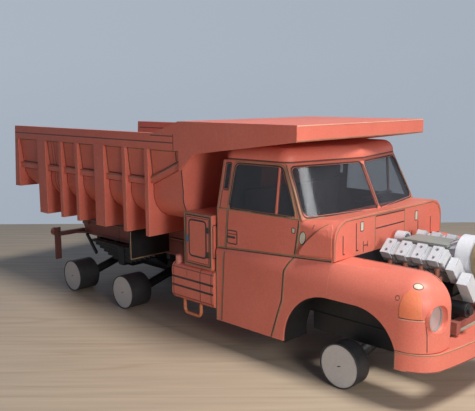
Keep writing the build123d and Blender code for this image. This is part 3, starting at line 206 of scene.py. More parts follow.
# One printed line: a band about Centre on one coordinate, between Start and Stop on another
def buildPrintedBand():
    labels = ("Across", "Centre", "Width", "Along", "Start", "Stop")
    tree, given, exitNode = nodeGroup("printedBand", {label: "Float" for label in labels}, {"Mask": "Float"})
    off = mathNode(tree, "ABSOLUTE", mathNode(tree, "SUBTRACT", given["Across"], given["Centre"]))
    band = mathNode(tree, "LESS_THAN", off, mathNode(tree, "MULTIPLY", given["Width"], 0.5))
    begun = mathNode(tree, "GREATER_THAN", given["Along"], given["Start"])
    notPast = mathNode(tree, "LESS_THAN", given["Along"], given["Stop"])
    inside = mathNode(tree, "MULTIPLY", begun, notPast)
    feed(tree, exitNode, {"Mask": mathNode(tree, "MULTIPLY", band, inside)})
    return tree


cardPrint = buildCardPrint()
cutEdge = buildCutEdge()
insideFace = buildInside()
printedBand = buildPrintedBand()


def startMaterial(name):
    material = bpy.data.materials.new(name)
    material.use_nodes = True
    tree = material.node_tree
    return material, tree, tree.nodes["Principled BSDF"]


def placeGroup(tree, group, **values):
    return feed(tree, put(tree, "ShaderNodeGroup", node_tree=group), values).outputs


def bumpNode(tree, values):
    values["Distance"] = paper["bumpDepth"]
    return feed(tree, put(tree, "ShaderNodeBump"), values).outputs[0]


def addBands(tree, colour, bands, ink, strength=0.82):
    split = splitPlace(tree, objectPlace(tree))
    total = 0.0
    for across, centre, width, start, stop in bands:
        axis = "XYZ".index(across)
        place = {"Across": split[axis], "Along": split[2 - axis], "Centre": centre * mm, "Width": width * mm}
        band = placeGroup(tree, printedBand, **place, Start=start * mm, Stop=stop * mm)
        total = mathNode(tree, "MAXIMUM", total, band[0])
    return mixColours(tree, mathNode(tree, "MULTIPLY", total, strength), colour, ink)


def cardMaterial(name, colour, tint, edge, mottle=0.5, scuff=0.05, wear=0.6, radius=0.3, bump=0.12,
                 bands=(), ink=(0.035, 0.03, 0.025), paintedInsideShade=None, middle=None):
    material, tree, shader = startMaterial(name)
    card = placeGroup(tree, cardPrint, Colour=colour, Tint=tint, Mottle=mottle, Scuff=scuff)
    rim = placeGroup(tree, cutEdge, Radius=radius * mm, Wear=wear)
    face = addBands(tree, card["Colour"], bands, ink) if bands else card["Colour"]
    face = mixColours(tree, rim["Mask"], face, edge)
    # Faces inside the cab take a near-black colour: painted shade
    if paintedInsideShade:
        inner = placeGroup(tree, insideFace, Middle=tuple(v * mm for v in middle))
        face = mixColours(tree, inner["Mask"], face, paintedInsideShade)
    bumped = bumpNode(tree, {"Height": card["Height"], "Strength": bump, "Normal": rim["Normal"]})
    feed(tree, shader, {"Base Color": face, "Roughness": card["Roughness"], "Normal": bumped})
    return material


orange = {"colour": (0.74, 0.195, 0.135), "tint": (0.66, 0.150, 0.100), "edge": (0.80, 0.44, 0.30)}
lightEdge, tanEdge = (0.85, 0.60, 0.42), (0.42, 0.27, 0.17)
cards = {
    "orange": cardMaterial("orangeCard", **orange, wear=0.42),
    # The cab cards paint their inside faces near-black: painted shade for the dark inside
    "cabOutside": cardMaterial("cabCard", **orange, wear=0.42,
                               paintedInsideShade=(0.035, 0.036, 0.042), middle=(60, 0, 74)),
    "cabBody": cardMaterial("cabBodyCard", **orange, wear=0.42,
                            paintedInsideShade=(0.045, 0.040, 0.042), middle=(60, 0, 58)),
    "bedRim": cardMaterial("bedRimCard", **orange, mottle=0.6, wear=0.5,
                           bands=[("Z", 92.9, 0.6, -150, 9), ("Z", 96.0, 0.5, -7.5, 9.3),
                                  ("X", 9.3, 0.5, 80, 100)]),
    "bumperCard": cardMaterial("bumperCard", **{**orange, "edge": lightEdge}, wear=0.9, radius=0.45),
    "cabinetCard": cardMaterial("cabinetCard", **{**orange, "edge": tanEdge}, wear=0.7, radius=0.35),
    "bezelCard": cardMaterial("bezelCard", **orange, scuff=0.0, wear=0.0, radius=0.01),
    "bedRib": cardMaterial("bedRibCard", **orange, mottle=0.6, wear=0.8, radius=0.4),
}
# Other finishes: name, colour, tint, edge, mottle, scuff, wear and, where it is not usual, edge radius
otherCards = {
    "ringCard": ("ringCard", (0.36, 0.35, 0.33), (0.24, 0.23, 0.21), (0.10, 0.09, 0.07),
                 0.7, 0.05, 0.9, 0.12),
    # bracketCard: a dark red-brown card made darker still, partly painted shade for the bracket in shadow
    "bracketCard": ("bracketCard", (0.17, 0.060, 0.052), (0.11, 0.045, 0.040), (0.30, 0.16, 0.12),
                    0.6, 0.05, 0.5),
    # shadedCard: the orange card darkened, painted shade for parts in shadow; the rear lamps use it too
    "brown": ("shadedCard", (0.34, 0.105, 0.080), (0.24, 0.08, 0.06), (0.46, 0.26, 0.19), 0.6, 0.08, 0.4),
    "black": ("blackCard", (0.013, 0.013, 0.015), (0.008, 0.008, 0.010), (0.10, 0.09, 0.09), 0.6, 0.02, 0.35),
    "dark": ("dashCard", (0.20, 0.055, 0.045), (0.12, 0.04, 0.035), (0.36, 0.20, 0.15), 0.6, 0.05, 0.5),
    "seat": ("seatCard", (0.060, 0.045, 0.045), (0.035, 0.03, 0.03), (0.20, 0.16, 0.15), 0.6, 0.03, 0.5),
    "white": ("whiteCard", (0.64, 0.65, 0.68), (0.50, 0.51, 0.55), (0.05, 0.05, 0.06), 0.8, 0.03, 1.0, 0.50),
    "drum": ("fanDrumCard", (0.72, 0.74, 0.78), (0.58, 0.60, 0.65), (0.20, 0.21, 0.23), 0.6, 0.03, 0.6, 0.25),
    "grey": ("finCard", (0.40, 0.40, 0.41), (0.26, 0.25, 0.26), (0.62, 0.60, 0.57), 0.7, 0.05, 0.5, 0.12),
    "olive": ("valleyCard", (0.30, 0.31, 0.28), (0.23, 0.24, 0.22), (0.12, 0.12, 0.11), 0.7, 0.05, 0.6),
    "brass": ("brassCard", (0.32, 0.25, 0.15), (0.20, 0.16, 0.10), (0.56, 0.48, 0.34), 0.7, 0.05, 0.6),
    "copper": ("copperCard", (0.40, 0.15, 0.10), (0.22, 0.08, 0.05), (0.60, 0.32, 0.24),
               0.7, 0.05, 0.4, 0.15),
    "disc": ("wheelDiscCard", (0.56, 0.53, 0.51), (0.50, 0.47, 0.46), (0.40, 0.37, 0.35), 0.6, 0.02, 0.4),
    "tread": ("wheelTreadCard", (0.034, 0.034, 0.037), (0.020, 0.020, 0.022), (0.16, 0.15, 0.15),
              0.7, 0.02, 0.5),
    "silver": ("silverCard", (0.60, 0.61, 0.63), (0.40, 0.41, 0.43), (0.22, 0.22, 0.24),
               0.8, 0.05, 0.6, 0.18),
    "patch": ("nosePatchCard", (0.78, 0.195, 0.085), (0.72, 0.215, 0.105), (0.62, 0.20, 0.12),
              0.9, 0.01, 0.5, 0.2),
    "ink": ("printedInk", (0.030, 0.029, 0.027), (0.060, 0.052, 0.040), (0.05, 0.05, 0.05),
            0.8, 0.03, 0.0, 0.1),
    # Soft dark ink: print, and also painted shade in the bed's shadow lines
    "softInk": ("softInk", (0.15, 0.055, 0.042), (0.24, 0.085, 0.065), (0.1, 0.05, 0.04),
                0.8, 0.03, 0.0, 0.1),
    "tan": ("cutCardEdge", (0.36, 0.24, 0.135), (0.22, 0.14, 0.080), (0.4, 0.3, 0.2), 0.9, 0.05, 0.0, 0.1),
    "pale": ("paleCardEdge", (0.80, 0.47, 0.34), (0.66, 0.30, 0.20), (0.8, 0.5, 0.4), 0.8, 0.05, 0.0, 0.1),
    "cream": ("creamPatch", (0.66, 0.62, 0.49), (0.58, 0.54, 0.43), (0.30, 0.28, 0.20), 0.6, 0.03, 0.4, 0.1),
    "latch": ("latchCard", (0.10, 0.17, 0.24), (0.06, 0.10, 0.15), (0.25, 0.30, 0.35), 0.6, 0.05, 0.4, 0.15),
    "cap": ("capCard", (0.78, 0.30, 0.24), (0.66, 0.20, 0.15), (0.80, 0.52, 0.42), 0.7, 0.05, 0.7, 0.2),
}
for key, row in otherCards.items():
    cards[key] = cardMaterial(*row)
print("card finishes:", len(cards))


# Clear sheet: dark, streaked and slightly hazy; the lamp sheet is nearly opaque
def glassMaterial(name, colour, alpha, rough, gloss=0.9):
    material, tree, shader = startMaterial(name)
    stretched = mappedPlace(tree, objectPlace(tree), "Scale", (1.0, 1.0, 0.25))
    haze = rampNode(tree, noiseNode(tree, stretched, 60.0, 4.0), 0.42, 0.72)
    paler = tuple(min(1.0, v * 1.25) for v in colour)
    feed(tree, shader, {
        "Base Color": mixColours(tree, haze, colour, paler), "Specular IOR Level": gloss,
        "Roughness": rampNode(tree, haze, 0.0, 1.0, rough, rough + 0.03),
        "Alpha": rampNode(tree, haze, 0.0, 1.0, alpha, min(1.0, alpha + 0.10)),
    })
    return material


def metalMaterial(name, colour, worn, metallic, rough):
    material, tree, shader = startMaterial(name)
    coat = placeGroup(tree, cardPrint, Colour=colour, Tint=worn, Mottle=0.8, Scuff=0.1)
    sheen = rampNode(tree, coat["Roughness"], paper["smooth"], paper["rough"], rough, rough + 0.15)
    bumped = bumpNode(tree, {"Height": coat["Height"], "Strength": 0.08})
    feed(tree, shader, {
        "Base Color": coat["Colour"], "Roughness": sheen, "Metallic": metallic, "Normal": bumped,
    })
    return material


cards["glass"] = glassMaterial("clearSheet", (0.040, 0.040, 0.046), 0.30, 0.03)
cards["lens"] = glassMaterial("lampSheet", (0.42, 0.33, 0.32), 0.92, 0.22)
cards["wire"] = metalMaterial("orangeWire", (0.72, 0.24, 0.10), (0.56, 0.17, 0.08), 0.0, 0.38)
cards["pin"] = metalMaterial("pinSteel", (0.52, 0.52, 0.53), (0.36, 0.36, 0.37), 1.0, 0.34)

slotCards = {
    "card_orange": "orange", "card_brown": "brown", "card_black": "black", "card_dark": "dark",
    "card_white": "white", "card_grey": "grey", "card_olive": "olive", "card_brass": "brass",
    "card_copper": "copper", "card_wheel": "disc", "silver_card": "silver", "clear_sheet": "glass",
    "wire_orange": "wire", "pin_steel": "pin",
}


def dress(piece, material):
    piece.data.materials.clear()
    piece.data.materials.append(material)


for row in record["subparts"]:
    target = nodes[row["node"]]
    if not target.material_slots:
        target.data.materials.append(None)
    for slot in target.material_slots:
        slot.link = "OBJECT"
        slot.material = cards[slotCards[row["material_slot"]]]
ownFinish = {
    "bumper": "bumperCard", "headlamp_rings": "ringCard", "headlamp_lenses": "lens", "rear_lamps": "brown",
    "cabinets": "cabinetCard", "fuel_tanks": "cabinetCard", "lamp_brackets": "bracketCard",
    "cab_pillars": "cabOutside", "cab_roof": "cabOutside", "cab_shell": "cabBody", "seats": "seat",
    "bed_rims": "bedRim", "bed_ribs": "bedRib", "fan_shroud": "drum",
}
for nodeName, finish in ownFinish.items():
    for slot in nodes[nodeName].material_slots:
        slot.material = cards[finish]
print("solids dressed:", len(record["subparts"]))


# Printed lines and pasted patches lie on the card: paths in millimetres are cast onto the solids below them
printing = {"step": 0.8, "thickness": 0.11, "jump": 2.6, "inside": 0.056, "roofMiddle": 57.0}
castFrom = {
    "side": ((0, 1, 0), 60.0), "inner": ((0, -1, 0), 0.0), "front": ((-1, 0, 0), 200.0),
    "rear": ((1, 0, 0), 200.0), "top": ((0, 0, -1), 150.0),
}


def anglesRound(count):
    return [2 * math.pi * step / count for step in range(count)]


def surfaceOf(names):
    points, faces, owners = [], [], []
    for name in names:
        start = len(points)
        points += [vertex.co.copy() for vertex in nodes[name].data.vertices]
        for face in nodes[name].data.polygons:
            faces.append([start + index for index in face.vertices])
            owners.append(name)
    return BVHTree.FromPolygons(points, faces), owners


def castPoint(surface, look, a, b, side):
    ray, far = Vector(castFrom[look][0]), castFrom[look][1]
    if look in ("side", "inner"):
        ray.y *= -side
        place = Vector((a, 0, b))
    else:
        place = Vector((0, -a * side, b)) if look in ("front", "rear") else Vector((a, -b * side, 0))
    return surface.ray_cast((place - ray * far) * mm, ray)


# Chains of points along a path; a chain ends where the path leaves the wanted solids or jumps to another wall
def castLine(surface, owners, wanted, look, path, side):
    chains, chain = [], []
    for (a0, b0), (a1, b1) in zip(path, path[1:]):
        count = max(1, math.ceil(math.hypot(a1 - a0, b1 - b0) / printing["step"]))
        for step in range(count + 1):
            if step == 0 and chain:
                continue
            a, b = (start + (stop - start) * step / count for start, stop in ((a0, a1), (b0, b1)))
            hit, normal, index, _ = castPoint(surface, look, a, b, side)
            missed = hit is None or owners[index] not in wanted
            if not missed:
                hit.x = min(hit.x, cadBox[1][0] - printing["inside"] * mm)
            if missed or (chain and (hit - chain[-1][0]).length > printing["jump"] * mm):
                chains.append(chain)
                chain = []
            if not missed:
                chain.append((hit, normal))
    return [found for found in chains + [chain] if len(found) > 1]


def softened(path, radius):
    points = [Vector(point) for point in path]
    result = []
    for index, tip in enumerate(points):
        before, after = points[index - 1] - tip, points[(index + 1) % len(points)] - tip
        start = tip + before.normalized() * min(radius, before.length / 2)
        stop = tip + after.normalized() * min(radius, after.length / 2)
        for share in (0, 0.25, 0.5, 0.75, 1):
            result.append(tuple(start * (1 - share) ** 2 + tip * 2 * share * (1 - share) + stop * share ** 2))
    return result + result[:1]


def boxPath(a0, b0, a1, b1, radius=0.0):
    corners = [(a0, b0), (a1, b0), (a1, b1), (a0, b1)]
    return softened(corners, radius) if radius else corners + corners[:1]


def ovalPath(a, b, halfA, halfB, lean=0.0, count=20):
    turn = math.radians(lean)
    points = []
    for angle in anglesRound(count):
        u, v = halfA * math.cos(angle), halfB * math.sin(angle)
        right, up = u * math.cos(turn) - v * math.sin(turn), u * math.sin(turn) + v * math.cos(turn)
        points.append((a + right, b + up))
    return points + points[:1]


# A flat strip swept along each line, its own face kept to the card by the stored normal
def buildStripTree():
    tree, given, exitNode = nodeGroup(
        "printedStrip", {"Lines": "Geometry", "Width": "Float", "Thickness": "Float", "Finish": "Material"},
        {"Strips": "Geometry"}, "GeometryNodeTree",
    )
    curve = feed(tree, put(tree, "GeometryNodeMeshToCurve"), {0: given["Lines"]}).outputs[0]
    stored = put(tree, "GeometryNodeInputNamedAttribute", data_type="FLOAT_VECTOR")
    normal = feed(tree, stored, {"Name": "cardNormal"}).outputs["Attribute"]
    turned = put(tree, "GeometryNodeSetCurveNormal", mode="FREE")
    feed(tree, turned, {"Curve": curve, "Normal": normal})
    outline = put(tree, "GeometryNodeCurvePrimitiveQuadrilateral")
    feed(tree, outline, {"Width": given["Thickness"], "Height": given["Width"]})
    swept = {"Curve": turned.outputs[0], "Profile Curve": outline.outputs[0], "Fill Caps": True}
    strip = feed(tree, put(tree, "GeometryNodeCurveToMesh"), swept).outputs[0]
    finish = put(tree, "GeometryNodeSetMaterial")
    feed(tree, finish, {"Geometry": strip, "Material": given["Finish"]})
    feed(tree, exitNode, {0: finish.outputs[0]})
    return tree


stripTree = buildStripTree()
stripSockets = {
    item.name: item.identifier for item in stripTree.interface.items_tree if item.in_out == "INPUT"
}


def meshOf(shape, name, scale=1.0):
    mesh = bpy.data.meshes.new(name)
    bmesh.ops.scale(shape, verts=shape.verts, vec=(scale, scale, scale))
    bmesh.ops.recalc_face_normals(shape, faces=shape.faces)
    shape.to_mesh(mesh)
    shape.free()
    return mesh


def keepPiece(name, mesh, body, finish):
    piece = bpy.data.objects.new(name, mesh)
    bpy.context.scene.collection.objects.link(piece)
    dress(piece, cards[finish])
    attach(piece, body)
    return piece


def keepStrips(name, base, width, body, ink):
    maker = bpy.data.objects.new(name + "Maker", base)
    bpy.context.scene.collection.objects.link(maker)
    modifier = maker.modifiers.new("grow", "NODES")
    modifier.node_group = stripTree
    values = {"Width": width * mm, "Thickness": printing["thickness"] * mm, "Finish": cards[ink]}
    for label, value in values.items():
        modifier[stripSockets[label]] = value
    seen = maker.evaluated_get(bpy.context.evaluated_depsgraph_get())
    mesh = bpy.data.meshes.new_from_object(seen)
    bpy.data.objects.remove(maker)
    return keepPiece(name, mesh, body, ink)


# Window openings, as they are cut in the pillars
sideWindow = [(42.0, 65.7), (78.3, 65.7), (69.8, 85.0), (44.5, 85.0)]
screenPane = [(1.0, 65.7), (42.0, 65.7), (39.7, 85.0), (1.0, 85.0)]


def grown(path, amount):
    middle = sum((Vector(point) for point in path), Vector((0, 0))) / len(path)
    points = []
    for a, b in path:
        way = Vector((math.copysign(amount, a - middle.x), math.copysign(amount, b - middle.y)))
        points.append(tuple(Vector((a, b)) + way))
    return points


ribFronts = [-107.05, -89.4, -72.5, -47.5, -28.42, -9.93]
sheets = [
    {"on": ["cab_shell"], "look": "side", "lines": [
        ("tan", 0.9, [(34.95, 46.5), (34.95, 64.4)]), ("tan", 0.9, [(34.95, 13.0), (34.95, 43.6)]),
        ("ink", 0.45, [(34.8, 46.35), (96.8, 49.85)]), ("tan", 0.55, [(34.8, 46.95), (96.8, 50.45)]),
        ("tan", 0.85, [(41.1, 64.3), (39.6, 46.6)]), ("ink", 0.35, [(41.7, 64.3), (40.2, 46.6)]),
        ("tan", 0.6, [(39.5, 45.4), (37.6, 13.0)]), ("ink", 0.35, [(40.0, 45.4), (38.1, 13.0)]),
        ("tan", 0.85, [(81.2, 64.3), (79.1, 50.0)]), ("ink", 0.35, [(80.6, 64.3), (78.5, 50.0)]),
        ("tan", 0.6, [(78.8, 48.7), (76.9, 46.4), (75.2, 43.2), (74.7, 36.0), (74.3, 30.2), (71.9, 23.1),
            (68.6, 12.8)]),
        ("ink", 0.35, [(78.2, 48.6), (76.3, 46.3), (74.6, 43.1), (74.1, 36.0), (73.7, 30.2), (71.3, 23.1),
            (68.0, 12.8)]),
        ("ink", 0.5, boxPath(40.9, 49.5, 46.7, 55.4, 0.9)), ("ink", 1.0, [(40.4, 52.45), (45.6, 52.45)]),
        ("softInk", 0.4, [(41.2, 53.9), (46.4, 53.9)]), ("ink", 0.3, boxPath(77.1, 58.9, 78.7, 61.0, 0.4)),
        ("softInk", 0.35, [(87.5, 61.9), (87.7, 63.4)]), ("ink", 0.3, ovalPath(82.5, 57.4, 1.55, 2.75, -12)),
        ("tan", 0.45, [(81.6, 50.6), (81.7, 52.2), (83.1, 54.6), (85.5, 57.3), (89.1, 60.8), (91.5, 62.8),
            (93.5, 64.1)]),
    ]},
    {"on": ["cab_shell"], "look": "front", "sides": (rightSide,), "lines": [
        ("tan", 0.7, [(-42.6, 50.2), (-42.6, 57.0), (-41.8, 60.4), (-39.6, 63.6), (-36.6, 65.3),
            (-33.0, 65.8), (33.0, 65.8), (36.6, 65.3), (39.6, 63.6), (41.8, 60.4), (42.6, 57.0),
            (42.6, 50.2)]),
    ]},
    {"on": ["cab_pillars"], "look": "side", "lines": [
        ("ink", 0.65, softened(grown(sideWindow, 0.45), 2.6)),
        ("tan", 0.55, softened(grown(sideWindow, 1.25), 3.2)), ("ink", 0.5, [(67.95, 65.4), (67.95, 85.4)]),
        ("ink", 0.5, [(69.05, 65.4), (69.05, 85.4)]), ("tan", 0.4, [(80.7, 64.7), (71.4, 86.3)]),
        ("ink", 0.3, [(81.3, 64.7), (71.9, 86.3)]), ("tan", 0.4, [(82.0, 64.7), (72.4, 86.3)]),
        ("ink", 0.5, softened([(37.7, 73.2), (40.9, 73.2), (41.9, 85.4), (38.7, 85.4)], 0.8)),
        ("tan", 0.6, [(35.2, 64.9), (37.3, 86.2)]), ("tan", 0.7, [(35.0, 64.9), (82.2, 64.9)]),
        ("ink", 0.35, [(36.4, 64.9), (37.3, 73.0)]),
    ]},
    {"on": ["cab_pillars"], "look": "front", "lines": [
        ("ink", 0.65, softened(grown(screenPane, 0.45), 2.6)), ("tan", 0.5, [(0.2, 64.85), (43.0, 64.85)]),
        ("tan", 0.45, [(43.1, 65.0), (40.9, 86.2)]),
    ]},
    {"on": ["cab_pillars"], "look": "rear", "sides": (rightSide,), "lines": [
        ("ink", 0.6, boxPath(-18.5, 70.6, 18.5, 84.6, 2.6)),
        ("tan", 0.5, boxPath(-19.4, 69.7, 19.4, 85.5, 3.2)), ("tan", 0.6, [(-44.4, 65.0), (44.4, 65.0)]),
    ]},
    {"on": ["cab_shell"], "look": "rear", "sides": (rightSide,), "lines": [
        ("softInk", 0.4, boxPath(-40.0, 44.0, 40.0, 62.5, 1.5)),
        ("softInk", 0.4, [(-14.0, 44.0), (-14.0, 62.5)]), ("softInk", 0.4, [(14.0, 44.0), (14.0, 62.5)]),
    ]},
    {"on": ["firewall"], "look": "front", "sides": (rightSide,), "lines": [
        ("ink", 0.5, [(-37.3, 59.6), (-37.1, 52.0), (-36.0, 52.0)]),
        ("ink", 0.5, [(-28.3, 63.5), (-27.9, 52.1), (-26.5, 52.1)]),
        ("softInk", 0.45, [(-22.9, 55.3), (-22.7, 50.7)]), ("softInk", 0.45, [(-19.8, 54.9), (-19.7, 52.6)]),
        ("softInk", 0.45, [(-22.8, 53.5), (-19.5, 53.4)]),
        ("ink", 0.3, boxPath(-25.2, 59.7, -23.0, 63.5, 0.4)), ("tan", 0.45, [(-14.4, 64.4), (-14.0, 50.6)]),
        ("ink", 0.5, [(-14.1, 64.5), (9.2, 64.4)]), ("ink", 0.5, [(-13.8, 59.3), (9.4, 59.3)]),
        ("tan", 0.45, [(9.2, 64.4), (9.5, 50.6)]), ("ink", 0.3, boxPath(18.4, 58.4, 20.6, 62.6, 0.4)),
        ("ink", 0.5, [(21.2, 57.9), (21.4, 50.8), (22.8, 50.8)]),
        ("ink", 0.5, [(32.7, 58.4), (33.1, 50.6), (34.4, 50.6)]),
        ("softInk", 0.45, [(13.7, 54.4), (13.9, 50.8)]), ("softInk", 0.45, [(15.9, 54.0), (16.0, 51.8)]),
        ("softInk", 0.45, [(13.8, 52.9), (15.9, 52.8)]),
        ("tan", 0.5, [(-42.5, 50.5), (-42.5, 57.0), (-41.5, 60.6), (-39.3, 63.4), (-35.5, 65.2),
            (35.5, 65.2), (39.3, 63.4), (41.5, 60.6), (42.5, 57.0), (42.5, 50.5)]),
    ]},
    {"on": ["cabinets"], "look": "side", "lines": [
        ("ink", 0.6, boxPath(15.6, 36.9, 32.2, 59.9)), ("tan", 0.6, boxPath(14.9, 36.1, 32.9, 60.6)),
        ("softInk", 0.35, boxPath(16.5, 37.8, 31.3, 59.0)),
        ("ink", 0.8, boxPath(18.0, 40.6, 29.6, 57.8, 2.0)),
    ]},
    {"on": ["cabinets"], "look": "front", "lines": [
        ("ink", 0.5, boxPath(46.7, 41.0, 43.9, 56.5, 0.9)),
        ("ink", 0.4, boxPath(41.0, 37.5, 26.0, 59.5, 0.8)),
    ]},
    {"on": ["cabinets"], "look": "rear", "lines": [
        ("ink", 0.5, boxPath(46.5, 37.0, 25.0, 60.0, 0.8)),
        ("softInk", 0.4, boxPath(44.5, 39.5, 27.0, 57.5, 1.6)),
    ]},
    {"on": ["cabinets"], "look": "top", "lines": [
        ("tan", 0.5, boxPath(14.9, 47.1, 32.9, 24.4)),
    ]},
    {"on": ["fuel_tanks"], "look": "side", "lines": [
        ("ink", 0.95, [(5.1, 28.4), (34.1, 28.4)]), ("ink", 0.95, [(5.1, 24.2), (34.1, 24.2)]),
        ("softInk", 0.4, [(5.1, 33.2), (34.1, 33.2)]), ("softInk", 0.4, [(5.1, 19.3), (34.1, 19.3)]),
        ("ink", 0.35, [(25.2, 18.2), (25.2, 34.8)]), ("softInk", 0.35, [(6.3, 18.2), (6.3, 34.8)]),
        ("softInk", 0.35, [(32.6, 18.2), (32.6, 34.8)]), ("softInk", 0.3, [(16.0, 30.0), (16.0, 33.0)]),
    ]},
    {"on": ["fuel_tanks"], "look": "rear", "lines": [
        ("ink", 0.95, [(47.3, 28.4), (19.0, 28.4)]), ("ink", 0.95, [(47.3, 24.2), (19.0, 24.2)]),
        ("softInk", 0.4, boxPath(46.0, 18.3, 20.0, 34.2, 2.5)),
    ]},
    {"on": ["frame"], "look": "side", "lines": [
        ("ink", 0.4, [(-78.5, 28.4), (-78.5, 37.2)]), ("softInk", 0.35, [(-112.0, 35.9), (33.0, 35.9)]),
        ("softInk", 0.35, [(-112.0, 29.6), (33.0, 29.6)]), ("ink", 0.4, [(-20.0, 28.4), (-20.0, 37.2)]),
        ("tan", 0.4, [(-118.0, 37.2), (33.0, 37.2)]),
    ]},
    {"on": ["bumper"], "look": "front", "sides": (rightSide,), "lines": [
        ("tan", 0.4, [(-45.5, 22.35), (45.5, 22.35)]), ("softInk", 0.35, [(-45.5, 15.95), (45.5, 15.95)]),
    ]},
    {"on": ["bumper"], "look": "side", "lines": [
        ("tan", 0.4, [(127.9, 16.0), (127.9, 22.35), (143.0, 22.35)]),
    ]},
    {"on": ["splash_plates"], "look": "front", "lines": [
        ("tan", 0.7, [(44.9, 29.4), (19.0, 29.4)]), ("tan", 0.5, [(44.7, 29.5), (44.7, 44.3)]),
    ]},
    {"on": ["lamp_brackets"], "look": "rear", "lines": [
        ("tan", 0.35, boxPath(38.8, 14.2, 35.2, 33.8)),
    ]},
    {"on": ["wing_right", "wing_left"], "look": "side", "lines": [
        ("softInk", 0.4, [(128.9, 35.5), (133.3, 35.6), (137.7, 35.5)]),
        ("pale", 0.35, [(128.9, 35.05), (133.3, 35.1), (137.5, 35.05)]),
        ("softInk", 0.3, ovalPath(127.8, 42.4, 0.8, 0.8)),
    ]},
    {"on": ["wing_right", "wing_left"], "look": "top", "lines": [
        ("ink", 0.22, ovalPath(133.4, -40.8, 1.72, 0.97, 30)),
        ("ink", 0.30, [(132.9, -41.0), (133.8, -40.6)]), ("softInk", 0.35, [(98.0, 30.7), (137.0, 30.7)]),
    ]},
    {"on": ["wing_right", "wing_left"], "look": "front", "lines": [
        ("softInk", 0.35, [(42.4, 35.2), (41.8, 30.0), (41.6, 23.6)]),
    ]},
    {"body": "bed", "on": ["bed_tub"], "behind": ["bed_ribs", "bed_mouldings"], "look": "side", "lines": [
        # Painted shadow: the soft dark line just above the moulding
        ("softInk", 0.5, [(-139.5, 75.1), (-11.0, 75.1), (12.9, 85.15)]),
        ("softInk", 0.4, [(-139.5, 70.95), (-11.0, 70.95), (12.9, 80.9)]),
        ("softInk", 0.35, [(-102.4, 58.0), (-102.4, 88.9)]),
        ("softInk", 0.35, [(-99.6, 58.0), (-99.6, 88.9)]), ("ink", 0.5, [(12.3, 80.3), (12.3, 56.0)]),
        ("ink", 0.45, [(9.3, 88.9), (9.3, 84.4)]), ("tan", 0.5, [(-138.8, 88.75), (12.9, 88.75)]),
    ]},
    # Painted shade: soft dark lines on the wall down each rib's front and the rear flange, where the wall
    # meets them
    {"body": "bed", "on": ["bed_tub"], "behind": ["bed_ribs", "bed_mouldings"], "look": "side",
     "lines": [("softInk", 0.4, [(x + 0.4, 88.9), (x + 0.4, 55.4)]) for x in ribFronts + [-138.85]]
     + [("tan", 0.4, [(x + 1.0, 88.9), (x + 1.0, 73.0)]) for x in ribFronts]},
    {"body": "bed", "on": ["bed_mouldings"], "look": "side", "lines": [
        ("tan", 0.45, [(-138.9, 74.2), (-11.0, 74.2), (12.9, 84.2)]),
    ]},
    {"body": "bed", "on": ["bed_tub"], "look": "inner", "lines": [
        ("ink", 0.5, [(-140.0, 92.9), (10.5, 92.9)]), ("softInk", 0.45, [(-140.0, 89.3), (10.5, 89.3)]),
        ("softInk", 0.45, [(-140.0, 76.0), (10.5, 76.0)]),
    ]},
    {"body": "bed", "on": ["cab_shield"], "look": "front", "sides": (rightSide,), "lines": [
        ("tan", 0.4, [(-48.6, 96.8), (48.6, 96.8)]), ("pale", 0.45, [(-48.7, 102.6), (48.7, 102.6)]),
    ]},
    {"body": "bed", "on": ["bed_front_wall"], "look": "rear", "sides": (rightSide,), "lines": [
        ("softInk", 0.4, boxPath(-40.0, 62.0, 40.0, 98.0, 3.0)), ("softInk", 0.4, [(0.0, 62.0), (0.0, 98.0)]),
    ]},
]


def roofChain(roof, height):
    chain = []
    for step in range(361):
        angle = math.radians(step)
        ray = Vector((-math.cos(angle), -math.sin(angle), 0))
        hit, normal, _, _ = roof.ray_cast((Vector((printing["roofMiddle"], 0, height)) - ray * 90) * mm, ray)
        chain.append((hit, normal))
    return chain


def chainMesh(chains):
    shape = bmesh.new()
    stored = shape.verts.layers.float_vector.new("cardNormal")
    for chain in chains:
        row = []
        for hit, normal in chain:
            row.append(shape.verts.new(hit))
            row[-1][stored] = normal
        for pair in zip(row, row[1:]):
            shape.edges.new(pair)
    return meshOf(shape, "lines")


def printSheets():
    groups = {}
    for sheet in sheets:
        surface, owners = surfaceOf(sheet["on"] + sheet.get("behind", []))
        for ink, width, path in sheet["lines"]:
            for side in sheet.get("sides", (rightSide, leftSide)):
                found = castLine(surface, owners, sheet["on"], sheet["look"], path, side)
                groups.setdefault((sheet.get("body", "chassis"), ink, width), []).extend(found)
    roof, _ = surfaceOf(["cab_roof"])
    for ink, width, height in (("ink", 0.35, 87.35), ("softInk", 0.35, 86.95)):
        groups.setdefault(("chassis", ink, width), []).append(roofChain(roof, height))
    total = 0
    for (body, ink, width), chains in groups.items():
        piece = keepStrips(f"{ink}Lines_{body}_{round(width * 100):02d}", chainMesh(chains), width, body, ink)
        total += len(piece.data.polygons)
    print("printed lines:", len(groups), "pieces,", total, "faces")


printSheets()


# Walls between loops of points, closed round each loop and, where asked, from the last loop to the first
def bridge(shape, loops, closed=True):
    for first, second in zip(loops, loops[1:] + loops[:1] if closed else loops[1:]):
        for index in range(len(first)):
            after = (index + 1) % len(first)
            shape.faces.new((first[index], first[after], second[after], second[index]))


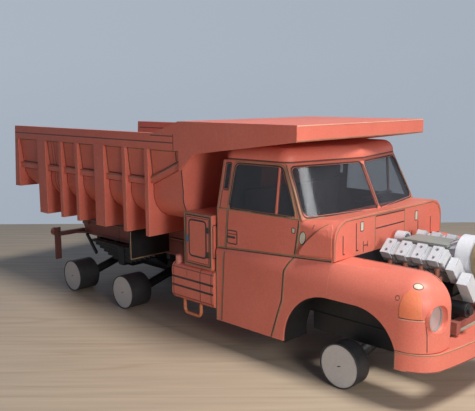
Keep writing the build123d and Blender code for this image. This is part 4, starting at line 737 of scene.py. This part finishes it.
# Pasted patches: filled outlines of thin card, closed all round
pasting = {
    "step": 0.9, "rings": (1.0, 0.97, 0.75, 0.5, 0.25), "rim": 0.75, "depth": 0.15, "fairingWedge": 0.10,
}
patches = [
    ("cowlOval", "cab_shell", "side", "cream", 0.12, ovalPath(82.5, 57.4, 1.35, 2.55, -12)),
    ("hingeMark", "cab_shell", "side", "cream", 0.10, boxPath(77.3, 59.1, 78.5, 60.8)),
    ("cowlFairing", "cab_shell", "side", "orange", 0.15, [
        (81.9, 50.8), (82.0, 52.1), (83.4, 54.3), (85.8, 57.0), (89.3, 60.5), (91.7, 62.5), (93.6, 63.7),
        (95.2, 64.0), (96.4, 62.5), (96.7, 59.0), (96.7, 55.0), (96.7, 51.6), (92.0, 51.2), (86.0, 50.9),
        (81.9, 50.8)]),
    ("wingOval", "wing_SIDE", "top", "cream", 0.12, ovalPath(133.4, -40.8, 1.55, 0.82, 30)),
    ("wallMarkA", "firewall", "front", "cream", 0.10, boxPath(-25.0, 59.9, -23.2, 63.3)),
    ("wallMarkB", "firewall", "front", "cream", 0.10, boxPath(18.6, 58.6, 20.4, 62.4)),
    ("nosePatch", "wing_SIDE", "side", "patch", 0.16, [
        (129.2, 35.7), (128.8, 37.5), (129.1, 40.7), (129.8, 43.9), (131.0, 45.3), (133.0, 45.6),
        (134.8, 45.0), (136.0, 42.7), (136.5, 39.0), (136.7, 35.7), (129.2, 35.7)]),
    ("hingeHigh", "cabinets", "side", "ink", 0.45, boxPath(30.0, 52.6, 31.6, 55.2, 0.4)),
    ("hingeLow", "cabinets", "side", "ink", 0.45, boxPath(30.0, 41.0, 31.6, 43.8, 0.4)),
    ("doorLatch", "cabinets", "side", "latch", 0.50, boxPath(15.9, 46.9, 17.7, 50.1, 0.5)),
]


def pastePatch(name, nodeName, look, finish, thickness, outline, side, wedge):
    surface, _ = surfaceOf([nodeName])
    middle = sum((Vector(point) for point in outline[:-1]), Vector((0, 0))) / (len(outline) - 1)
    front = max(point[0] for point in outline)
    dense = []
    for start, stop in zip(outline, outline[1:]):
        count = max(1, math.ceil((Vector(stop) - Vector(start)).length / pasting["step"]))
        dense += [Vector(start).lerp(Vector(stop), step / count) for step in range(count)]
    rings = [[middle.lerp(point, share) for point in dense] for share in pasting["rings"]]
    shape = bmesh.new()

    def layer(points, height, rise=0.0):
        made = []
        for point in points:
            hit, normal, _, _ = castPoint(surface, look, point.x, point.y, side)
            made.append(shape.verts.new(hit + normal * (height + rise * (front - point.x)) * mm))
        return made

    upper = [layer(rings[0], thickness * pasting["rim"], wedge)]
    upper += [layer(ring, thickness, wedge) for ring in rings[1:]]
    lower = layer(rings[0], -pasting["depth"])
    top, bottom = layer([middle], thickness, wedge)[0], layer([middle], -pasting["depth"])[0]
    bridge(shape, [lower] + upper, closed=False)
    for index in range(len(dense)):
        after = (index + 1) % len(dense)
        shape.faces.new((upper[-1][index], upper[-1][after], top))
        shape.faces.new((lower[after], lower[index], bottom))
    keepPiece(name, meshOf(shape, name), "chassis", finish)


for name, nodeName, look, finish, thickness, outline in patches:
    wedge = pasting["fairingWedge"] if name == "cowlFairing" else 0.0
    for side, word in bothSides[:1] if name.startswith("wallMark") else bothSides:
        owner = nodeName.replace("SIDE", word)
        pastePatch(f"{name}_{word}", owner, look, finish, thickness, outline, side, wedge)
print("pasted patches:", len(patches), "kinds")


# Wheels: a black card tread wrapped round the drum, its end lapping the start, and a paper disc in each end
wheel = {
    "radius": 9.2, "rim": 0.55, "sunk": 0.15, "lap": 0.09, "bore": 1.75, "card": 0.8, "segments": 72,
    "edge": 0.12, "seam": 2.75, "groove": 0.05, "step": 0.15, "play": 0.02, "fall": 0.25, "middle": 0.55,
    "tickHigh": 0.22, "tickLong": 0.75, "tickThick": 0.08,
}


def turnedMesh(name, centre, profile):
    shape = bmesh.new()
    rings = []
    for step in range(wheel["segments"] + 1):
        angle = 2 * math.pi * step / wheel["segments"]
        out = Vector((math.sin(angle), 0, -math.cos(angle)))
        lap = wheel["lap"] * (1 - step / wheel["segments"])
        ring = []
        for radius, y in profile:
            reach = radius - (lap if radius > wheel["radius"] - 0.3 else 0)
            ring.append(shape.verts.new((centre + out * reach + Vector((0, y, 0))) * mm))
        rings.append(ring)
    bridge(shape, rings, closed=False)
    shape.faces.new(rings[0])
    shape.faces.new(reversed(rings[-1]))
    bmesh.ops.remove_doubles(shape, verts=shape.verts, dist=0.0000004)
    return meshOf(shape, name)


def discMesh(name, centre, y, hole, facing):
    shape = bmesh.new()
    rim = wheel["radius"] - wheel["rim"]
    end, card = rim - wheel["play"], wheel["card"]
    section = [(hole, 0), (wheel["radius"] * wheel["middle"], 0), (rim - wheel["fall"], 0),
               (end, -wheel["edge"]), (end, -card), (hole, -card)]
    loops = []
    for radius, off in section:
        level, angles = y + facing * off, anglesRound(wheel["segments"])
        places = [Vector((radius * math.sin(t), level, -radius * math.cos(t))) for t in angles]
        loops.append([shape.verts.new((centre + place) * mm) for place in places])
    bridge(shape, loops)
    return meshOf(shape, name)


def blockMesh(name, start, stop, wide, deep):
    along = (stop - start).normalized()
    across = along.cross(Vector((0, 0, 1)) if abs(along.z) < 0.95 else Vector((0, 1, 0))).normalized()
    shape = bmesh.new()
    bmesh.ops.create_cube(shape, size=1.0)
    bmesh.ops.scale(shape, verts=shape.verts, vec=((stop - start).length, wide, deep))
    bmesh.ops.bevel(shape, geom=shape.edges[:], offset=min(wide, deep) * 0.12, segments=1, affect="EDGES")
    turn = Matrix((along, across, across.cross(along))).transposed().to_4x4()
    bmesh.ops.transform(shape, matrix=Matrix.Translation((start + stop) / 2) @ turn, verts=shape.verts)
    return meshOf(shape, name, mm)


def wrapWheel(body, side):
    low, high = boxOf(body)
    inner, outer = sorted((abs(low[1]), abs(high[1])))
    centre = Vector(((low[0] + high[0]) / 2, 0, wheel["radius"]))
    edge, sunk, soft, step, play = (wheel[key] for key in ("radius", "sunk", "edge", "step", "play"))
    rim, base, seam = edge - wheel["rim"], edge - wheel["groove"], outer - wheel["seam"]
    profile = [(rim, outer), (edge - soft, outer), (edge, outer - soft), (edge, seam + step), (base, seam),
               (base, inner + soft), (edge - step, inner), (rim, inner)]
    tread = turnedMesh(body + "Tread", centre, [(radius, side * y) for radius, y in profile])
    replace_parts(keepPiece(body + "_tread", tread, body, "tread"), body)
    discs = (("outerDisc", outer - sunk, side, play), ("innerDisc", inner + sunk, -side, wheel["bore"]))
    for part, y, facing, hole in discs:
        keepPiece(f"{body}_{part}", discMesh(part, centre, side * y, hole, facing), body, "disc")
    level = side * (outer - sunk + play)
    ends = [centre + Vector((way * wheel["tickLong"], level, rise)) for way, rise in ((-1, -0.2), (1, 0.25))]
    tick = blockMesh(body + "Tick", *ends, wheel["tickThick"], wheel["tickHigh"] * 2)
    keepPiece(body + "_tick", tick, body, "ink")


for stem in ("wheel_front", "wheel_middle", "wheel_rear"):
    for side, word in bothSides:
        wrapWheel(f"{stem}_{word}", side)
print("wheels wrapped")


# Small glued pieces: caps on the tanks, struts from the frame's end to the rear axle, skirts in the arches
cap = {"x": 8.0, "out": 44.5, "bottom": 34.0, "radius": 2.25, "height": 4.7, "knob": 0.6, "knobHigh": 0.5}
strut = {"start": (-112.5, 19.2, 28.4), "stop": (-100.2, 20.4, 17.5), "wide": 1.4, "deep": 2.0}
skirt = {"start": (79.5, 31.0, 19.5), "stop": (126.0, 31.0, 19.5), "wide": 0.8, "deep": 8.0}


def capMesh(side):
    shape = bmesh.new()
    radius, knob = cap["radius"], cap["knob"]
    body = {"radius1": radius, "radius2": radius, "depth": cap["height"]}
    bmesh.ops.create_cone(shape, segments=28, cap_ends=True, **body)
    rims = [edge for edge in shape.edges if all(vert.co.z > 0 for vert in edge.verts)]
    bmesh.ops.bevel(shape, geom=rims, offset=radius * 0.12, segments=2, affect="EDGES")
    small = {"radius1": knob, "radius2": knob * 0.8, "depth": cap["knobHigh"]}
    grip = bmesh.ops.create_cone(shape, segments=16, cap_ends=True, **small)
    bmesh.ops.translate(shape, verts=grip["verts"], vec=(0, 0, cap["height"] / 2 + 0.15))
    place = (cap["x"], side * cap["out"], cap["bottom"] + cap["height"] / 2)
    bmesh.ops.translate(shape, verts=shape.verts, vec=place)
    return meshOf(shape, "tankCap", mm)


for side, word in bothSides:
    keepPiece("tankCap_" + word, capMesh(side), "chassis", "cap")
    for name, bar in (("rearStrut", strut), ("archSkirt", skirt)):
        ends = [Vector((x, side * y, z)) for x, y, z in (bar["start"], bar["stop"])]
        made = blockMesh(name, *ends, bar["wide"], bar["deep"])
        keepPiece(f"{name}_{word}", made, "chassis", "black")


# Leaf springs between the two rear axles: a stack of black strips, each shorter than the one above
spring = {
    "middle": -66.5, "out": 23.4, "top": 27.2, "leaves": 6, "longest": 62.0, "shorter": 8.5, "wide": 4.6,
    "thick": 1.35, "gap": 0.12, "clampWide": 5.6, "clampDeep": 6.5, "clampAbove": 0.8, "clampBelow": 1.5,
}
for side, word in bothSides:
    pitch = spring["thick"] + spring["gap"]
    for leaf in range(spring["leaves"]):
        half = (spring["longest"] - leaf * spring["shorter"]) / 2
        middle = Vector((spring["middle"], side * spring["out"], spring["top"] - leaf * pitch))
        ends = [middle + Vector((way * half, 0, 0)) for way in (-1, 1)]
        made = blockMesh("leaf", *ends, spring["wide"], spring["thick"])
        keepPiece(f"springLeaf{leaf}_{word}", made, "chassis", "black")
    foot = spring["top"] - spring["leaves"] * pitch - spring["clampBelow"]
    head = spring["top"] + spring["clampAbove"]
    ends = [Vector((spring["middle"], side * spring["out"], z)) for z in (foot, head)]
    clamp = blockMesh("clamp", *ends, spring["clampWide"], spring["clampDeep"])
    keepPiece("springClamp_" + word, clamp, "chassis", "black")
print("caps, struts, skirts and springs placed")


# Bezels that close the step between each wing and its headlamp, following the wing's rounded nose
bezel = {
    "outer": 5.38, "wall": 5.02, "inner": 4.72, "segments": 56, "over": 0.06, "proud": 0.1, "back": 0.2,
    "deep": 0.8, "lip": 0.02,
}


def bezelMesh(name, wingName, middle, front):
    surface, _ = surfaceOf([wingName])
    shape = bmesh.new()
    outer, wall, inner, back = (bezel[key] for key in ("outer", "wall", "inner", "back"))
    proud = front + bezel["proud"]
    loops = [[] for _ in range(6)]
    for angle in anglesRound(bezel["segments"]):
        turn = Vector((0, math.cos(angle), math.sin(angle)))
        start = (middle + turn * outer + Vector((200, 0, 0))) * mm
        nose = surface.ray_cast(start, Vector((-1, 0, 0)))[0].x / mm
        rows = [
            (outer, nose + bezel["over"]), (wall, max(nose, front + back)), (wall, proud), (inner, proud),
            (inner, front + bezel["lip"]), (wall + 0.1, max(nose - bezel["deep"], front - back)),
        ]
        for loop, (radius, x) in zip(loops, rows):
            point = middle + turn * radius
            loop.append(shape.verts.new(Vector((x, point.y, point.z)) * mm))
    bridge(shape, loops)
    return meshOf(shape, name)


lampLow, lampHigh = boxOf("headlamp_rings")
lampRadius = (lampHigh[2] - lampLow[2]) / 2
for side, word in bothSides:
    middle = Vector((0, side * (lampHigh[1] - lampRadius), lampHigh[2] - lampRadius))
    made = bezelMesh("bezel", "wing_" + word, middle, lampHigh[0])
    keepPiece("lampBezel_" + word, made, "chassis", "bezelCard")
print("lamp bezels placed")


# Room: a pale table, a grey-blue backdrop beyond its edge, the camera at the photograph's place, soft lamps
room = {
    "tableColour": (0.52, 0.415, 0.305), "tableReach": 0.60, "tableHalf": 2.4, "tableThick": 0.022,
    "tableEdge": 0.002, "wallColour": (0.395, 0.448, 0.522), "wallLeftPaintedLight": 1.04, "wallLowPaintedShade": 0.88,
    "worldColour": (0.40, 0.62, 1.0), "worldLevel": 0.13,
}
view = {
    "place": (0.24775, -0.25059, 0.11388), "azimuth": 44.39, "pitch": 9.25, "roll": 0.23, "lens": 50.41,
    "shift": 0.003,
}
lamps = [
    ("skyLamp", (0.30, 0.0, 0.55), 0.16, 3.1, (1.0, 0.97, 0.93)),
    ("nearLamp", (0.36, -0.15, 0.13), 0.10, 0.45, (1.0, 0.97, 0.95)),
    ("lowLamp", (0.64, -0.30, 0.14), 0.16, 0.35, (1.0, 0.97, 0.95)),
    ("sideLamp", (0.20, -0.70, 0.40), 0.60, 0.10, (0.92, 0.96, 1.0)),
]
lampAim = Vector((0.03, 0, 0.04))
# A bright panel out of the camera's sight, which the near windscreen pane mirrors; corners in millimetres
mirrorCard = {
    "strength": 9.0,
    "corners": [(485.9, 259.2, 415.6), (485.2, 270.5, 411.6), (529.6, 272.1, 335.4), (530.8, 259.3, 339.9)],
}
viewTurn = math.radians(view["azimuth"])
ahead = Vector((-math.sin(viewTurn), math.cos(viewTurn), 0))
across = Vector((ahead.y, -ahead.x, 0))


# Pale wood: fine streaks and a few wandering rings along the grain, under a thin varnish
wood = {
    "stretch": 0.06, "streakScale": 260.0, "ringScale": 26.0, "rings": 9.0, "veinWidth": 0.10, "vein": 0.30,
    "veinTint": (0.66, 0.55, 0.45), "streakTint": 0.86, "smooth": 0.46, "rough": 0.56, "gloss": 0.35,
}


def woodMaterial(name, colour):
    material, tree, shader = startMaterial(name)
    turned = mappedPlace(tree, objectPlace(tree), "Rotation", (0.0, 0.0, -viewTurn))
    drawn = mappedPlace(tree, turned, "Scale", (wood["stretch"], 1.0, 1.0))
    streak = noiseNode(tree, drawn, wood["streakScale"], 5.0)
    ring = noiseNode(tree, drawn, wood["ringScale"], 2.0, distortion=0.6)
    wander = mathNode(tree, "FRACT", mathNode(tree, "MULTIPLY", ring, wood["rings"]))
    off = mathNode(tree, "ABSOLUTE", mathNode(tree, "SUBTRACT", wander, 0.5))
    vein = rampNode(tree, off, 0.0, wood["veinWidth"], wood["vein"], 0.0)
    streaked = tuple(v * wood["streakTint"] for v in colour)
    veined = tuple(v * t for v, t in zip(colour, wood["veinTint"]))
    base = mixColours(tree, rampNode(tree, streak, 0.35, 0.68), colour, streaked)
    feed(tree, shader, {
        "Base Color": mixColours(tree, vein, base, veined), "Specular IOR Level": wood["gloss"],
        "Roughness": rampNode(tree, streak, 0.3, 0.7, wood["smooth"], wood["rough"]),
    })
    return material


# The backdrop is the world as the camera and reflections see it; it lights nothing. Its colour is painted
# lighter towards the left and darker towards the bottom: painted light and painted shade
def paintBackdrop(tree):
    lookAt = put(tree, "ShaderNodeTexCoord").outputs["Generated"]
    split = splitPlace(tree, lookAt)
    side = mathNode(tree, "ADD", mathNode(tree, "MULTIPLY", split["X"], math.cos(viewTurn)),
                    mathNode(tree, "MULTIPLY", split["Y"], math.sin(viewTurn)))
    wall = room["wallColour"]
    plain = mixColours(tree, noiseNode(tree, lookAt, 7.0, 4.0), wall, tuple(0.95 * v for v in wall))
    # Painted light towards the left, painted shade low down
    left = rampNode(tree, side, -0.35, 0.35, 1.0, 0.0)
    lighter = mixColours(tree, left, plain, tuple(room["wallLeftPaintedLight"] * v for v in wall))
    low = rampNode(tree, split["Z"], -0.19, 0.06, 0.7, 0.0)
    return mixColours(tree, low, lighter, tuple(room["wallLowPaintedShade"] * v for v in wall))


def buildWorld():
    world = bpy.data.worlds.new("roomLight")
    bpy.context.scene.world = world
    world.use_nodes = True
    tree = world.node_tree
    light = tree.nodes["Background"]
    feed(tree, light, {"Color": room["worldColour"], "Strength": room["worldLevel"]})
    seen = feed(tree, put(tree, "ShaderNodeBackground"), {"Color": paintBackdrop(tree)})
    path = put(tree, "ShaderNodeLightPath").outputs
    direct = mathNode(tree, "MAXIMUM", path["Is Camera Ray"], path["Is Transmission Ray"])
    shown = mathNode(tree, "MAXIMUM", direct, path["Is Glossy Ray"])
    choice = put(tree, "ShaderNodeMixShader")
    feed(tree, choice, {0: shown, 1: light.outputs[0], 2: seen.outputs[0]})
    feed(tree, tree.nodes["World Output"], {"Surface": choice.outputs[0]})


def glowMaterial(name, strength):
    material, tree, shader = startMaterial(name)
    cloud = noiseNode(tree, objectPlace(tree), 40.0)
    colour = mixColours(tree, cloud, (0.90, 0.95, 1.0), (1.0, 1.0, 1.0))
    glow = feed(tree, put(tree, "ShaderNodeEmission"), {"Color": colour, "Strength": strength})
    feed(tree, tree.nodes["Material Output"], {"Surface": glow.outputs[0]})
    tree.nodes.remove(shader)
    return material


def setStage(name, mesh, material):
    prop = bpy.data.objects.new(name, mesh)
    bpy.context.scene.collection.objects.link(prop)
    dress(prop, material)
    return prop


def buildRoom():
    half, thick = room["tableHalf"], room["tableThick"]
    board = bmesh.new()
    bmesh.ops.create_cube(board, size=1.0)
    bmesh.ops.scale(board, verts=board.verts, vec=(2 * half, 2 * half, thick))
    bmesh.ops.bevel(board, geom=board.edges[:], offset=room["tableEdge"], segments=2, affect="EDGES")
    under = Vector((view["place"][0], view["place"][1], 0))
    middle = under + ahead * (room["tableReach"] - half) - Vector((0, 0, thick / 2))
    placed = Matrix.Translation(middle) @ Matrix((across, ahead, (0, 0, 1))).transposed().to_4x4()
    bmesh.ops.transform(board, matrix=placed, verts=board.verts)
    table = meshOf(board, "table")
    bright = bpy.data.meshes.new("brightWindow")
    bright.from_pydata([Vector(point) * mm for point in mirrorCard["corners"]], [], [(0, 1, 2, 3)])
    panel = setStage("brightWindow", bright, glowMaterial("windowLight", mirrorCard["strength"]))
    for ray in ("visible_camera", "visible_diffuse", "visible_transmission", "visible_shadow"):
        setattr(panel, ray, False)
    setStage("table", table, woodMaterial("tableWood", room["tableColour"]))


def buildCamera():
    tilt, roll = math.radians(view["pitch"]), math.radians(view["roll"])
    sight = ahead * math.cos(tilt) - Vector((0, 0, math.sin(tilt)))
    down = sight.cross(across)
    right = across * math.cos(roll) + down * math.sin(roll)
    down = down * math.cos(roll) - across * math.sin(roll)
    lens = bpy.data.cameras.new("photoCamera")
    lens.sensor_width = 36.0
    lens.lens = view["lens"]
    lens.shift_x = view["shift"]
    lens.clip_start = 0.01
    camera = bpy.data.objects.new("photoCamera", lens)
    turned = Matrix((right, -down, -sight)).transposed().to_4x4()
    camera.matrix_world = Matrix.Translation(view["place"]) @ turned
    bpy.context.scene.collection.objects.link(camera)
    bpy.context.scene.camera = camera


def buildLamps():
    for name, place, size, power, colour in lamps:
        light = bpy.data.lights.new(name, "AREA")
        light.shape = "DISK"
        light.size = size
        light.energy = power
        light.color = colour
        lamp = bpy.data.objects.new(name, light)
        aim = (lampAim - Vector(place)).to_track_quat("-Z", "Y")
        lamp.matrix_world = Matrix.Translation(place) @ aim.to_matrix().to_4x4()
        bpy.context.scene.collection.objects.link(lamp)


buildWorld()
buildRoom()
buildCamera()
buildLamps()
bpy.context.scene.view_settings.view_transform = "Standard"
print("room, camera and lamps placed")
